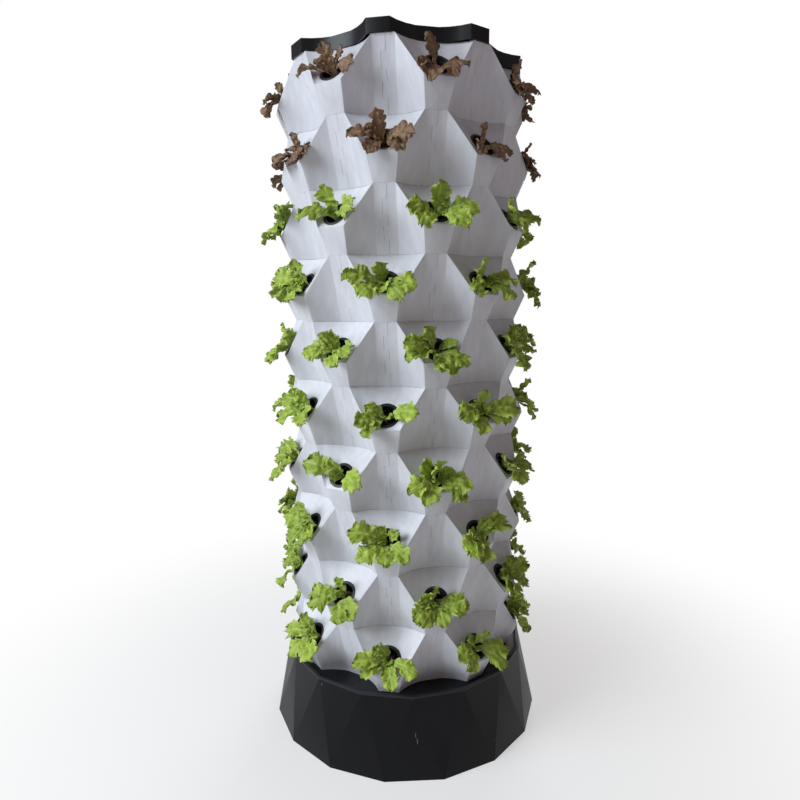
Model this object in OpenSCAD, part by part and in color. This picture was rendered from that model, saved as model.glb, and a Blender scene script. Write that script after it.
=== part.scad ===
// Hydroponic tower: ten stacked tiers of interlocking one-pot segments over a faceted
// water tank, with a pump and riser inside, net cups with seedlings and a lift-off cover.
// Millimetres, +Z up, origin at the centre of the tank's foot, pot column 0 faces -Y.

/* [Tiers] */
// Height of one tier
tier_h = 135; // [120:1:150]
// Distance from the axis to the flat at a tier joint
joint_r = 261.6; // [250:0.1:275]
// Width of the flat at a tier joint
joint_w = 45.8; // [36:0.1:54]
// Depth of the crease, where a scoop meets the tier above, behind the flat at a tier joint
crease_in = 39.6; // [30:0.1:48]
// How far a pot's lip stands out past the flat at a tier joint
lip_out = 23.3; // [16:0.1:32]
// Width of a pot's lip
lip_w = 64.8; // [58:0.1:72]
// Height of a pot's lip above the bottom of its tier
lip_z = 53.8; // [46:0.1:62]
// Wall thickness of a segment
wall = 3.2; // [2.4:0.1:4]
// Wall thickness at the crease
crease_wall = 4.2; // [3.4:0.1:5]
// How far the inner wall drops under a lip
lip_drop = 1.5; // [1:0.1:2]
// Gap between two segments of a tier
seam_gap = 0.5; // [0.4:0.1:1]

/* [Segment locks] */
// Depth of the flange behind a seam
flange_depth = 11; // [10:0.5:14]
// Thickness of the flange behind a seam
flange_t = 2.6; // [2:0.1:4]
// Height of the tongue that rises into the tier above
tongue_h = 8; // [4:1:14]
// Radial width of a lock tab
tab_w = 5; // [4:0.5:6]
// Height of a lock tab
tab_h = 14; // [8:1:15]
// How far a lock tab stands out of the far flange
tab_out = 2; // [1:0.5:4]
// Height of the lower lock tab above the bottom of its tier
tab_low_z = 30; // [20:1:40]
// Height of the upper lock tab above the bottom of its tier
tab_high_z = 92; // [80:1:104]
// Clearance round a lock tab and a tongue
lock_clear = 0.4; // [0.3:0.1:0.5]

/* [Net cups] */
// Diameter of a cup's rim
cup_rim_d = 57; // [52:1:58]
// Thickness of a cup's rim
cup_rim_t = 2; // [1.5:0.1:3]
// Diameter of a cup's body under the rim
cup_top_d = 48; // [42:1:50]
// Diameter of a cup's body at its floor
cup_floor_d = 36; // [34:1:40]
// Depth of a cup under its rim
cup_depth = 45; // [38:1:52]
// Wall thickness of a cup
cup_wall = 1.6; // [1.2:0.1:2]
// Width of a slot in a cup
cup_slot_w = 6; // [2:0.5:8]
// Diameter of the hole in a cup's floor
cup_drain_d = 14; // [6:1:18]
// Solid band above and below a cup's slots
cup_band = 7; // [5:1:10]
// Distance from a pot's lip to its cup's rim
lip_margin = 4.5; // [3:0.5:8]
// Radial clearance of a cup in its collar
cup_clear = 0.8; // [0.5:0.1:1.5]
// Depth of the seat under the scoop
seat_sink = 0.5; // [0.3:0.1:1]
// Depth of the collar under the seat
collar_h = 12; // [8:1:16]
// Wall thickness of the collar outside the seat
collar_wall = 2; // [1.5:0.5:3]

/* [Seedlings] */
// Side of a square growing plug
plug_w = 21; // [18:1:22]
// Height of a growing plug
plug_h = 26; // [20:1:30]
// Side of a seedling's square stem
stem_w = 6; // [5:1:9]
// Length of a stem above its plug
stem_len = 22; // [20:1:30]
// Length of a leaf
leaf_len = 66; // [50:1:72]
// Width of a leaf
leaf_w = 44; // [30:1:48]
// Thickness of a leaf
leaf_t = 1.2; // [0.8:0.1:2]
// Width of a leaf at the stem
leaf_foot = 4; // [2:0.5:5]
// How far a leaf's foot reaches into the stem
leaf_root = 1; // [0.5:0.1:2]
// Height of the stem above the feet of its leaves
stem_over = 6; // [3:0.5:10]

/* [Tank] */
// Height of the tank
tank_h = 176; // [160:1:200]
// Height of the tank's rim over its cover
cover_drop = 11; // [6:1:16]
// Gap from the tower's corners to the corners of the tank's rim
rim_margin = 31.3; // [28:0.1:40]
// How much wider the tank is at its foot than at its rim, on the radius
foot_flare = 36.5; // [24:0.1:44]
// Wall thickness of the tank
tank_wall = 4; // [3:0.5:6]
// Width of the bead along the tank's rim
bead_w = 5; // [4:0.5:7]
// Height of the bead along the tank's rim
bead_h = 5; // [3:0.5:8]
// How far the bead stands out of the tank's wall
bead_out = 1.5; // [0.5:0.5:3]
// Thickness of the tank's cover
cover_t = 4; // [3:0.5:6]
// Width of the ledge that carries the cover
ledge_w = 12; // [10:1:16]
// Height of the ledge that carries the cover
ledge_h = 8; // [6:1:12]
// Gap between the cover's edge and the tank
cover_gap = 0.6; // [0.4:0.1:1.5]
// Height of the ring on the cover that centres the tower
ring_h = 7; // [5:1:10]
// Thickness of the centring rings on both covers
ring_t = 3; // [2:0.5:4]
// Gap between a centring ring and the tower
ring_gap = 1.5; // [1:0.1:3]
// Gap between a seam flange and its notch in the ring on the tank's cover
flange_gap = 2; // [1:0.5:4]
// Diameter of a return hole in the cover
return_d = 22; // [12:1:30]
// Radius of the circle of return holes
return_r = 150; // [120:1:180]
// Number of return holes
return_count = 16; // [8:1:20]

/* [Pump and riser] */
// Outer diameter of the riser pipe
pipe_d = 25; // [20:1:32]
// Wall thickness of the riser pipe
pipe_wall = 2; // [1.5:0.1:3]
// Radial play of the riser in its sockets
pipe_fit = 0.1; // [0.05:0.05:0.3]
// Gap round the riser where it passes a plate
pipe_gap = 1; // [0.5:0.1:2]
// Length of the coupling between the riser's halves
coupling_len = 50; // [30:1:70]
// Wall thickness of the coupling
coupling_wall = 3; // [2:0.5:4]
// Gap between the riser's halves inside the coupling
pipe_break = 2; // [1:0.5:4]
// Width of the pump's housing along X
pump_w = 84; // [70:1:100]
// Depth of the pump's housing along Y
pump_d = 62; // [52:1:76]
// Height of the pump's housing
pump_h = 58; // [50:1:66]
// Corner radius of the pump's housing
pump_round = 9; // [4:1:14]
// Wall thickness of the pump's housing
pump_wall = 3; // [2.5:0.5:4]
// Height of the suction feet
foot_h = 12; // [8:1:16]
// Diameter of a suction foot
foot_d = 20; // [14:1:24]
// Diameter of the impeller
impeller_d = 38; // [30:1:42]
// Width of the impeller's blades along its shaft
blade_len = 12; // [8:1:14]
// Number of impeller blades
blade_count = 6; // [4:1:8]
// Diameter of the impeller's shaft
shaft_d = 5; // [4:0.5:6]
// Radial running clearance of the impeller's shaft
shaft_clear = 0.05; // [0.03:0.01:0.08]
// Diameter of the magnet rotor
magnet_d = 22; // [18:1:26]
// Length of the magnet rotor
magnet_len = 26; // [20:1:28]
// Length of the pump's outlet socket
socket_h = 24; // [16:1:30]
// Wall thickness of the pump's outlet socket
socket_wall = 3; // [2:0.5:4]
// Width of a bar in the intake grille
grille_bar = 3; // [2:0.5:4]
// Number of slots in the intake grille
grille_slots = 6; // [4:1:7]

/* [Top] */
// Height of the cover's skirt
cap_h = 27; // [22:1:34]
// How far the cover stands out past the tower
cap_over = 3.5; // [2:0.5:5]
// Thickness of the cover's top
cap_t = 3; // [2.5:0.5:4]
// Gap between the cover's skirt and the tongues of the top tier
cap_gap = 0.6; // [0.5:0.1:1.5]
// Height of the cover's skirt over the edge that it rests on
cap_play = 0.05; // [0.02:0.01:0.2]
// Turn of the cover on its seat, in degrees
cap_turn = -2; // [-3:0.5:3]
// Width of the cover's notches over the tray's arms
notch_w = 40; // [36:1:60]
// Height of the distributor tray
tray_h = 18; // [14:1:24]
// Thickness of the distributor tray
tray_t = 2.5; // [2:0.5:3]
// Gap between the tray and the cover's centring ring
tray_gap = 7; // [5:1:12]
// Width of an arm that carries the tray
arm_w = 12; // [8:1:14]
// Diameter of a drip hole in the tray
drip_d = 6; // [4:1:8]
// Number of drip holes in the tray
drip_count = 16; // [8:1:24]
// Height of the tray's hub round the riser
hub_h = 10; // [6:1:14]
// Wall thickness of the tray's hub
hub_wall = 4; // [2:0.5:5]

/* [Drain tap and cable gland] */
// Height of the drain tap's axis above the floor
tap_z = 34; // [30:1:50]
// Outer diameter of the drain tap's thread
tap_thread_d = 20; // [16:1:24]
// Radial gap of the thread in the tank's wall
tap_gap = 0.4; // [0.3:0.1:0.8]
// Diameter of the tap's flange, washer and nut
tap_flange_d = 32; // [28:1:36]
// Thickness of the tap's flange
tap_flange_t = 4; // [3:0.5:5]
// Thickness of the tap's washer
tap_washer_t = 2.5; // [2:0.5:3]
// Thickness of the tap's nut
tap_nut_t = 8; // [6:1:10]
// Diameter of the tap's barrel
tap_barrel_d = 24; // [22:1:28]
// Length of the tap's barrel
tap_barrel_len = 30; // [26:1:36]
// Outer diameter of the hose spout
spout_d = 13; // [10:0.5:16]
// Length of the hose spout
spout_len = 20; // [14:1:26]
// Bore through the tap
tap_bore_d = 8; // [6:0.5:9]
// Diameter of the tap's valve plug
valve_plug_d = 12; // [11:0.5:14]
// Radial running clearance of the tap's valve plug
stem_clear = 0.06; // [0.03:0.01:0.08]
// Length of the tap's lever
lever_len = 36; // [28:1:40]
// Width of the tap's lever at its hub
lever_w = 12; // [10:0.5:14]
// Diameter of the hole in the cable gland
gland_bore_d = 8; // [6:0.5:10]
// Diameter of the gland's hole in the cover
gland_d = 18; // [14:1:20]
// Place of the cable gland between the tower's wall and the cover's ledge, as a share
gland_share = 0.55; // [0.45:0.01:0.6]
// Width of the gland's flange past its hole
gland_flange = 3; // [2:0.5:4]

/* [Hidden] */

tiers = 10;
pots = 8;
arc_n = 3;
eps = 0.01;
$fn = 48;
plastic_white = [0.86, 0.85, 0.9];
plastic_black = [0.08, 0.08, 0.09];
leaf_green = [0.45, 0.65, 0.15];
leaf_red = [0.4, 0.25, 0.18];
red_tiers = 2;

half_pitch = 180 / pots;
tower_z = tank_h - cover_drop;
crease_r = joint_r - crease_in;
lip_r = joint_r + lip_out;
top_z = tower_z + tiers * tier_h;
joint_corner_r = norm([joint_w / 2, joint_r]);
joint_half_angle = atan(joint_w / 2 / joint_r);
function tier_z(k) = tower_z + k * tier_h;

// A point at tangent offset u and radius v beside the column at azimuth a
function at(a, u, v, z) = [v * sin(a) + u * cos(a), -v * cos(a) + u * sin(a), z];
// The same beside the seam on side s, with u measured towards the pot
function seam_pt(s, uv, z) = at(s * half_pitch, -s * uv[0], uv[1], z);
function mix(a, b, t) = a + (b - a) * t;
function toward_axis(p, d) =
    let (k = 1 - d / norm([p[0], p[1]])) [p[0] * k, p[1] * k, p[2]];

// Concave arc of a tier joint, in its own column's frame: a flat middle, then a circle
arc_end = joint_corner_r * [sin(half_pitch - joint_half_angle), cos(half_pitch - joint_half_angle)];
arc_start = [joint_w / 2, crease_r];
arc_centre = (arc_end * arc_end - arc_start * arc_start) / (2 * (arc_end[1] - arc_start[1]));
arc_r = norm([arc_start[0], arc_centre - arc_start[1]]);
arc_a0 = asin(arc_start[0] / arc_r);
arc_a1 = asin(arc_end[0] / arc_r);
function arc_pt(i) =
    let (a = mix(arc_a0, arc_a1, i / arc_n)) [arc_r * sin(a), arc_centre - arc_r * cos(a)];

// The arc's points from the seam outwards, at the bottom and at the lip's height
function strip_v(z) = mix(crease_r, joint_r, z / tier_h);
function low_uv(i) = i == 0 ? [seam_gap / 2, crease_r] : arc_pt(i - 1);
lip_corner = [lip_r * sin(half_pitch) - lip_w / 2 * cos(half_pitch),
              lip_r * cos(half_pitch) + lip_w / 2 * sin(half_pitch)];
function mid_uv(i) =
    i == 0 ? [seam_gap / 2, strip_v(lip_z)] :
    let (p = arc_pt(i - 1),
         t = (p[0] - arc_start[0]) / (arc_end[0] - arc_start[0]),
         bulge = p[1] - mix(arc_start[1], arc_end[1], t))
    mix([joint_w / 2, strip_v(lip_z)], lip_corner, t)
        + [0, bulge * (1 - lip_z / tier_h)];
// The crease along the top of the scoop and the lip's edge under it, j from -last to last
last = arc_n + 1;
function crease_uv(j) =
    j == 0 ? [0, crease_r] : let (p = arc_pt(abs(j) - 1)) [sign(j) * p[0], p[1]];
function crease_pt(j) = at(0, crease_uv(j)[0], crease_uv(j)[1], tier_h);
function lip_pt(j) = [lip_w / 2 * crease_uv(j)[0] / arc_end[0], -lip_r, lip_z];

// Seat of a net cup on the middle line of the scoop
scoop_run = lip_r - crease_r;
scoop_rise = tier_h - lip_z;
scoop_len = norm([scoop_run, scoop_rise]);
seat_s = lip_margin + cup_rim_d / 2;
seat_tilt = atan(scoop_rise / scoop_run);
seat_v = lip_r - scoop_run * seat_s / scoop_len - seat_sink * sin(seat_tilt);
seat_z = lip_z + scoop_rise * seat_s / scoop_len - seat_sink * cos(seat_tilt);
seat_d = cup_rim_d + 2 * cup_clear;
collar_bore = cup_top_d + 2 * cup_clear;

// Tank: the rim's corners stand between the columns, the foot's corners on them
facets = 2 * pots;
facet_half = 180 / facets;
rim_r = joint_corner_r + rim_margin;
foot_r = rim_r + foot_flare;
cover_z = tower_z - cover_t;
wall_inset = tank_wall / cos(facet_half);
ring_r = crease_r - crease_wall - ring_gap;

// Drain tap: on the face whose middle lies half a facet past the back
tap_azimuth = 180 + facet_half;
gland_azimuth = 180 - half_pitch;
gland_r = mix(crease_r, (rim_r - ledge_w) * cos(facet_half), gland_share);
tap_face_r = mix(foot_r * cos(facet_half), rim_r, tap_z / tank_h);
tap_pad_r = tap_face_r + 3;
tap_pad_in_r = tap_face_r - tank_wall - 6;

// Pump
pump_floor_z = tank_wall + foot_h;
shaft_z = pump_floor_z + pump_h / 2;
pump_top_z = pump_floor_z + pump_h;
chamber_d = impeller_d + 6;
chamber_len = blade_len + 6;
chamber_x = pump_w / 2 - pump_wall - chamber_len;
magnet_bore = magnet_d + 2;
tongue_top_z = top_z + tongue_h;
tray_z = tongue_top_z + tray_t - tray_h;
tray_r = ring_r - ring_t - tray_gap;
arm_r = joint_r - wall - lock_clear - 2;
riser_top_z = tray_z + tray_t + 6;
riser_join_z = tier_z(tiers / 2);
riser_foot_z = pump_top_z + 2;

// Triangles between two rows of points, the lower one first, left to right from outside
function band(a, b) = [for (i = [0 : len(a) - 2]) each
    [[a[i], b[i + 1], a[i + 1]], [a[i], b[i], b[i + 1]]]];
function span(from, to) = from <= to ? [for (i = [from : to]) i] : [for (i = [from : -1 : to]) i];
function flip(faces) = [for (f = faces) [for (i = [len(f) - 1 : -1 : 0]) f[i]]];

// One-pot shell: lip face, scoop and half a recess on each side
module segment_shell() {
    row0 = concat([for (i = [0 : last]) seam_pt(-1, low_uv(i), 0)],
                  [for (i = [last : -1 : 0]) seam_pt(1, low_uv(i), 0)]);
    row1 = concat([for (i = [0 : last]) seam_pt(-1, mid_uv(i), lip_z)],
                  [for (i = [last : -1 : 0]) seam_pt(1, mid_uv(i), lip_z)]);
    edge = [for (j = [-last + 1 : last - 1]) lip_pt(j)];
    row2 = concat([seam_pt(-1, [seam_gap / 2, joint_r], tier_h)],
                  [for (j = [-last : last]) crease_pt(j)],
                  [seam_pt(1, [seam_gap / 2, joint_r], tier_h)]);
    in0 = [for (i = [0 : len(row0) - 1])
        toward_axis(row0[i], i == last || i == last + 1 ? wall : crease_wall)];
    in2 = [for (i = [0 : len(row2) - 1])
        toward_axis(row2[i], i < 2 || i > len(row2) - 3 ? wall : crease_wall)];
    in_lip = [for (s = [-1, 1])
        toward_axis([s * lip_w / 2, -lip_r, lip_z - lip_drop], wall)];

    o1 = len(row0);
    oe = o1 + len(row1);
    o2 = oe + len(edge);
    p0 = o2 + len(row2);
    p2 = p0 + len(in0);
    pl = p2 + len(in2);
    end0 = len(row0) - 1;
    end2 = len(row2) - 1;
    lip_row = concat([o1 + last], span(oe, oe + len(edge) - 1), [o1 + last + 1]);

    outer = concat(
        band(span(0, last), span(o1, o1 + last)),
        band(span(last + 1, end0), span(o1 + last + 1, o1 + end0)),
        [concat([last], lip_row, [last + 1])],
        band(lip_row, span(o2 + 1, o2 + end2 - 1)),
        band([o1, o1 + 1], [o2, o2 + 1]),
        band([o1 + end0 - 1, o1 + end0], [o2 + end2 - 1, o2 + end2]),
        [for (i = [1 : last - 1]) [o1 + i, o2 + 1, o1 + i + 1]],
        [for (i = [last + 1 : end0 - 2]) [o1 + i, o2 + end2 - 1, o1 + i + 1]]);
    inner = concat(
        band([p0, p0 + 1], [p2, p2 + 1]),
        band([p0 + end0 - 1, p0 + end0], [p2 + end2 - 1, p2 + end2]),
        [[p0 + 1, p2 + 1, pl]],
        [for (i = [1 : last - 1]) [p0 + i, pl, p0 + i + 1]],
        [[p0 + end0 - 1, pl + 1, p2 + end2 - 1]],
        [for (i = [last + 1 : end0 - 2]) [p0 + i, pl + 1, p0 + i + 1]],
        band([p0 + last, p0 + last + 1], [pl, pl + 1]),
        [for (j = [1 : last]) [pl, p2 + j, p2 + j + 1]],
        [[pl, p2 + last + 1, pl + 1]],
        [for (j = [last + 1 : end2 - 2]) [pl + 1, p2 + j, p2 + j + 1]]);
    rims = concat(
        band(span(p0, p0 + end0), span(0, end0)),
        band(span(o2, o2 + end2), span(p2, p2 + end2)),
        flip([[p0, 0, o1], [p0, o1, o2], [p0, o2, p2]]),
        [[p0 + end0, end0, o1 + end0], [p0 + end0, o1 + end0, o2 + end2],
         [p0 + end0, o2 + end2, p2 + end2]]);
    polyhedron(points = concat(row0, row1, edge, row2, in0, in2, in_lip),
               faces = concat(outer, flip(inner), rims), convexity = 6);
}

// Flange behind the seam on side s, with a tongue that rises into the tier above
module seam_flange(s) {
    inner_low = crease_r - wall - flange_depth;
    inner_high = joint_r - wall - flange_depth;
    rotate([0, 0, s * half_pitch])
        translate([s > 0 ? -seam_gap / 2 - flange_t : seam_gap / 2, 0, 0])
            rotate([90, 0, 90])
                linear_extrude(flange_t)
                    polygon([[-(crease_r - wall / 2), 0], [-inner_low, 0],
                             [-inner_high, tier_h], [-inner_high, tier_h + tongue_h],
                             [-(joint_r - wall - lock_clear - 1), tier_h + tongue_h],
                             [-(joint_r - wall - lock_clear), tier_h],
                             [-(joint_r - wall / 2), tier_h - 2]]);
}

// Block through a seam flange, from tangent offset u0, with play round its section
module seam_block(s, z, u0, length, play) {
    v = strip_v(z) - wall - flange_depth / 2;
    rotate([0, 0, s * half_pitch])
        translate([u0, -v - tab_w / 2 - play, z - tab_h / 2 - play])
            cube([length, tab_w + 2 * play, tab_h + 2 * play]);
}

// Tab on the right flange: it starts inside its own flange and crosses the seam
module lock_tab(z) {
    seam_block(1, z, -seam_gap / 2 - flange_t / 2, flange_t / 2 + seam_gap + flange_t + tab_out, 0);
}

// Window in the left flange for the neighbour's tab
module lock_window(z) {
    seam_block(-1, z, seam_gap / 2 - 1, flange_t + 2, lock_clear);
}

// Frame of a pot: origin at the seat's centre, +Z out of the cup, +Y up the scoop
module at_seat() {
    translate([0, -seat_v, seat_z]) rotate([seat_tilt, 0, 0]) children();
}

module segment() {
    difference() {
        union() {
            segment_shell();
            at_seat() translate([0, 0, -collar_h])
                cylinder(d = seat_d + 2 * collar_wall, h = collar_h + seat_sink / 2);
            seam_flange(-1);
            seam_flange(1);
            for (z = [tab_low_z, tab_high_z]) lock_tab(z);
        }
        at_seat() translate([0, 0, -collar_h - 5]) cylinder(d = collar_bore, h = collar_h + 20);
        at_seat() cylinder(d = seat_d, h = 12);
        for (z = [tab_low_z, tab_high_z]) lock_window(z);
    }
}

// Azimuth of pot i in tier k: every other tier is turned by half a pitch
function pot_azimuth(k, i) = (2 * i + k % 2) * half_pitch;

module on_pots(k, skip) {
    for (i = [0 : pots - 1])
        if (i != skip)
            rotate([0, 0, pot_azimuth(k, i)]) translate([0, 0, tier_z(k)]) children();
}

module tier(k) {
    color(plastic_white) on_pots(k, -1) segment();
}

// Slotted cone with a flat rim
module net_cup() {
    inner_top = cup_top_d - 2 * cup_wall;
    inner_floor = cup_floor_d - 2 * cup_wall;
    slot_h = cup_depth - 2 * cup_band;
    difference() {
        union() {
            translate([0, 0, -cup_depth])
                cylinder(d1 = cup_floor_d, d2 = cup_top_d, h = cup_depth);
            cylinder(d = cup_rim_d, h = cup_rim_t);
        }
        translate([0, 0, -cup_depth + cup_wall])
            cylinder(d1 = inner_floor, d2 = inner_top, h = cup_depth - cup_wall + eps);
        translate([0, 0, -eps]) cylinder(d = inner_top, h = cup_rim_t + 1);
        for (a = [45, 135])
            rotate([0, 0, a]) translate([-cup_top_d, -cup_slot_w / 2, -cup_depth + cup_band])
                cube([2 * cup_top_d, cup_slot_w, slot_h]);
        translate([0, 0, -cup_depth - 1]) cylinder(d = cup_drain_d, h = cup_wall + 2);
    }
}

// Foam block that holds a seedling in its cup
module plug() {
    translate([-plug_w / 2, -plug_w / 2, -cup_depth + cup_wall]) cube([plug_w, plug_w, plug_h]);
}

// Leaf along +X, narrow at the stem and widest past its middle
module leaf(length) {
    half = [[0, leaf_foot / 2], [0.5 * length, leaf_w / 2], [0.85 * length, leaf_w / 3]];
    linear_extrude(leaf_t)
        polygon(concat(half, [[length, 0]], [for (i = [2 : -1 : 0]) [half[i][0], -half[i][1]]]));
}

// Azimuth, rise and share of the length of each leaf of a seedling
LEAVES = [[90, 52, 0.9], [0, 34, 0.9], [180, 38, 1], [270, 24, 1]];

module seedling(turn) {
    plug_top = -cup_depth + cup_wall + plug_h;
    rotate([0, 0, turn]) {
        translate([-stem_w / 2, -stem_w / 2, plug_top]) cube([stem_w, stem_w, stem_len]);
        for (l = LEAVES)
            translate([0, 0, plug_top + stem_len - stem_over]) rotate([0, 0, l[0]])
                translate([stem_w / 2 - leaf_root, 0, 0]) rotate([0, -l[1], 0]) leaf(leaf_len * l[2]);
    }
}

// Turn of the seedling in pot i of tier k, so that neighbours differ
function seedling_turn(k, i) = 24 * sin(97 * i + 61 * k);

module cups_of(k, skip) {
    color(plastic_black) on_pots(k, skip) at_seat() net_cup();
}

module seedlings_of(k, skip) {
    color(k >= tiers - red_tiers ? leaf_red : leaf_green)
        for (i = [0 : pots - 1]) if (i != skip)
            rotate([0, 0, pot_azimuth(k, i)]) translate([0, 0, tier_z(k)])
                at_seat() seedling(seedling_turn(k, i));
}

// The tiers whose front cup is a piece of its own that lifts out
LOW_TIER = 2;
HIGH_TIER = 8;
function lift_pot(k) = k == LOW_TIER || k == HIGH_TIER ? 0 : -1;

module growing_plugs() {
    color("tan") for (k = [0 : tiers - 1]) on_pots(k, lift_pot(k)) at_seat() plug();
}

module front_pot(k) {
    rotate([0, 0, pot_azimuth(k, 0)]) translate([0, 0, tier_z(k)]) at_seat() children();
}

// Regular polygon of the tank, turned so that a corner lies at azimuth turn
function ring_pts(r, turn, z) = [for (i = [0 : facets - 1])
    let (a = turn + i * 2 * facet_half) [r * sin(a), -r * cos(a), z]];
module facet_plate(r, turn, z, h) {
    translate([0, 0, z]) linear_extrude(h)
        polygon([for (p = ring_pts(r, turn, 0)) [p[0], p[1]]]);
}

module facet_ring(outer, inner, z, h) {
    difference() {
        facet_plate(outer, facet_half, z, h);
        facet_plate(inner, facet_half, z - 1, h + 2);
    }
}

// Tapering solid between a foot polygon and a rim polygon turned by half a facet
module tank_body(rf, rr, z0, z1) {
    n = facets;
    sides = [for (i = [0 : n - 1]) each
        [[i, n + i, (i + 1) % n], [(i + 1) % n, n + i, n + (i + 1) % n]]];
    polyhedron(points = concat(ring_pts(rf, 0, z0), ring_pts(rr, facet_half, z1)),
               faces = concat([span(0, n - 1)], sides, [span(2 * n - 1, n)]), convexity = 2);
}

module tap_axis(r) {
    rotate([0, 0, tap_azimuth]) translate([0, -r, tap_z]) rotate([90, 0, 0]) children();
}

module tank_shell() {
    color(plastic_black) difference() {
        union() {
            difference() {
                tank_body(foot_r, rim_r, 0, tank_h);
                inner_low = foot_r - wall_inset - foot_flare * tank_wall / tank_h;
                tank_body(inner_low, rim_r - wall_inset, tank_wall, tank_h + eps);
            }
            facet_ring(rim_r + bead_out, rim_r - bead_w / cos(facet_half), tank_h - bead_h, bead_h);
            facet_ring(rim_r + tank_wall - 1, rim_r - ledge_w, cover_z - ledge_h, ledge_h);
            tap_axis(tap_pad_in_r) cylinder(d = tap_flange_d, h = tap_pad_r - tap_pad_in_r);
        }
        tap_axis(tap_pad_in_r - 5)
            cylinder(d = tap_thread_d + 2 * tap_gap, h = tap_pad_r - tap_pad_in_r + 10);
    }
}

module tank_cover() {
    notch = 2 * (flange_t + flange_gap) + seam_gap;
    color([0.12, 0.13, 0.16]) difference() {
        union() {
            facet_plate(rim_r - bead_w / cos(facet_half) - cover_gap, facet_half, cover_z, cover_t);
            translate([0, 0, tower_z - eps]) difference() {
                cylinder(r = ring_r, h = ring_h, $fn = 96);
                translate([0, 0, -1]) cylinder(r = ring_r - ring_t, h = ring_h + 2, $fn = 96);
                for (i = [0 : pots - 1]) rotate([0, 0, pot_azimuth(1, i)])
                    translate([-notch / 2, -joint_r, -1]) cube([notch, joint_r / 2, ring_h + 2]);
            }
        }
        translate([0, 0, cover_z - 1]) cylinder(d = pipe_d + 2 * pipe_gap, h = cover_t + 2);
        for (i = [0 : return_count - 1]) rotate([0, 0, i * 360 / return_count])
            translate([0, return_r, cover_z - 1]) cylinder(d = return_d, h = cover_t + 2);
        at_gland() translate([0, 0, cover_z - 1]) cylinder(d = gland_d, h = cover_t + 2);
    }
}

module at_gland() {
    rotate([0, 0, gland_azimuth]) translate([0, -gland_r, 0]) children();
}

// Rubber ring with a flange over and under the cover's plate
module cable_gland() {
    lap = 0.3;
    color([0.15, 0.15, 0.15]) at_gland() rotate_extrude()
        polygon([[gland_bore_d / 2, cover_z - 2 - lap], [gland_d / 2 + gland_flange, cover_z - 2 - lap],
                 [gland_d / 2 + gland_flange, cover_z - lap], [gland_d / 2 - lap, cover_z - lap],
                 [gland_d / 2 - lap, tower_z + lap], [gland_d / 2 + gland_flange, tower_z + lap],
                 [gland_d / 2 + gland_flange, tower_z + 2 + lap],
                 [gland_bore_d / 2, tower_z + 2 + lap]]);
}

// Tap: flange against the pad, thread through the wall, barrel outside and spout down
tap_barrel_r = tap_pad_r + tap_flange_t;
spout_r = tap_barrel_r + tap_barrel_len;
valve_r = tap_barrel_r + tap_barrel_len / 2;
plug_foot_z = tap_z - tap_bore_d / 2 - 3;
module drain_tap_body() {
    thread_in = tap_pad_in_r - tap_washer_t - tap_nut_t - 2;
    color(plastic_black) difference() {
        union() {
            tap_axis(thread_in) cylinder(d = tap_thread_d, h = tap_pad_r - thread_in + eps);
            tap_axis(tap_pad_r) cylinder(d = tap_flange_d, h = tap_flange_t);
            tap_axis(tap_barrel_r - eps) cylinder(d = tap_barrel_d, h = tap_barrel_len);
            tap_axis(spout_r - eps) cylinder(d = spout_d, h = spout_len);
        }
        tap_axis(thread_in - 1) cylinder(d = tap_bore_d, h = spout_r + spout_len - thread_in + 2);
        rotate([0, 0, tap_azimuth]) translate([0, -valve_r, plug_foot_z - 0.3])
            cylinder(d = valve_plug_d + 2 * stem_clear, h = tap_barrel_d);
    }
}

module drain_tap_washer() {
    color("dimgray") tap_axis(tap_pad_in_r - tap_washer_t) difference() {
        cylinder(d = tap_flange_d, h = tap_washer_t);
        translate([0, 0, -1]) cylinder(d = tap_thread_d + 2 * tap_gap, h = tap_washer_t + 2);
    }
}

module drain_tap_nut() {
    color(plastic_black) tap_axis(tap_pad_in_r - tap_washer_t - tap_nut_t) difference() {
        cylinder(d = tap_flange_d, h = tap_nut_t, $fn = 6);
        translate([0, 0, -1]) cylinder(d = tap_thread_d + 2 * stem_clear, h = tap_nut_t + 2);
    }
}

// Lever across the barrel when the tap is shut; its plug's cross hole opens the bore
module drain_tap_lever() {
    base_z = tap_z + tap_barrel_d / 2 + 0.5;
    color("firebrick") rotate([0, 0, tap_azimuth]) translate([0, -valve_r, 0]) {
        difference() {
            translate([0, 0, plug_foot_z]) cylinder(d = valve_plug_d, h = base_z - plug_foot_z + eps);
            translate([-valve_plug_d, 0, tap_z]) rotate([0, 90, 0])
                cylinder(d = tap_bore_d, h = 2 * valve_plug_d);
        }
        translate([0, 0, base_z]) cylinder(d = 16, h = 7);
        translate([0, 0, base_z]) linear_extrude(6) hull() {
            circle(d = lever_w);
            translate([lever_len, 0]) circle(d = 0.7 * lever_w);
        }
    }
}

// Housing with a wet chamber, a rotor bore, an outlet socket and a grille seat
module pump_block(w, d, h, r) {
    linear_extrude(h) {
        square([w - 2 * r, d], center = true);
        square([w, d - 2 * r], center = true);
        for (x = [-1, 1], y = [-1, 1]) translate([x * (w / 2 - r), y * (d / 2 - r)]) circle(r = r);
    }
}

module along_shaft(x) {
    translate([x, 0, shaft_z]) rotate([0, 90, 0]) children();
}

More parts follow.
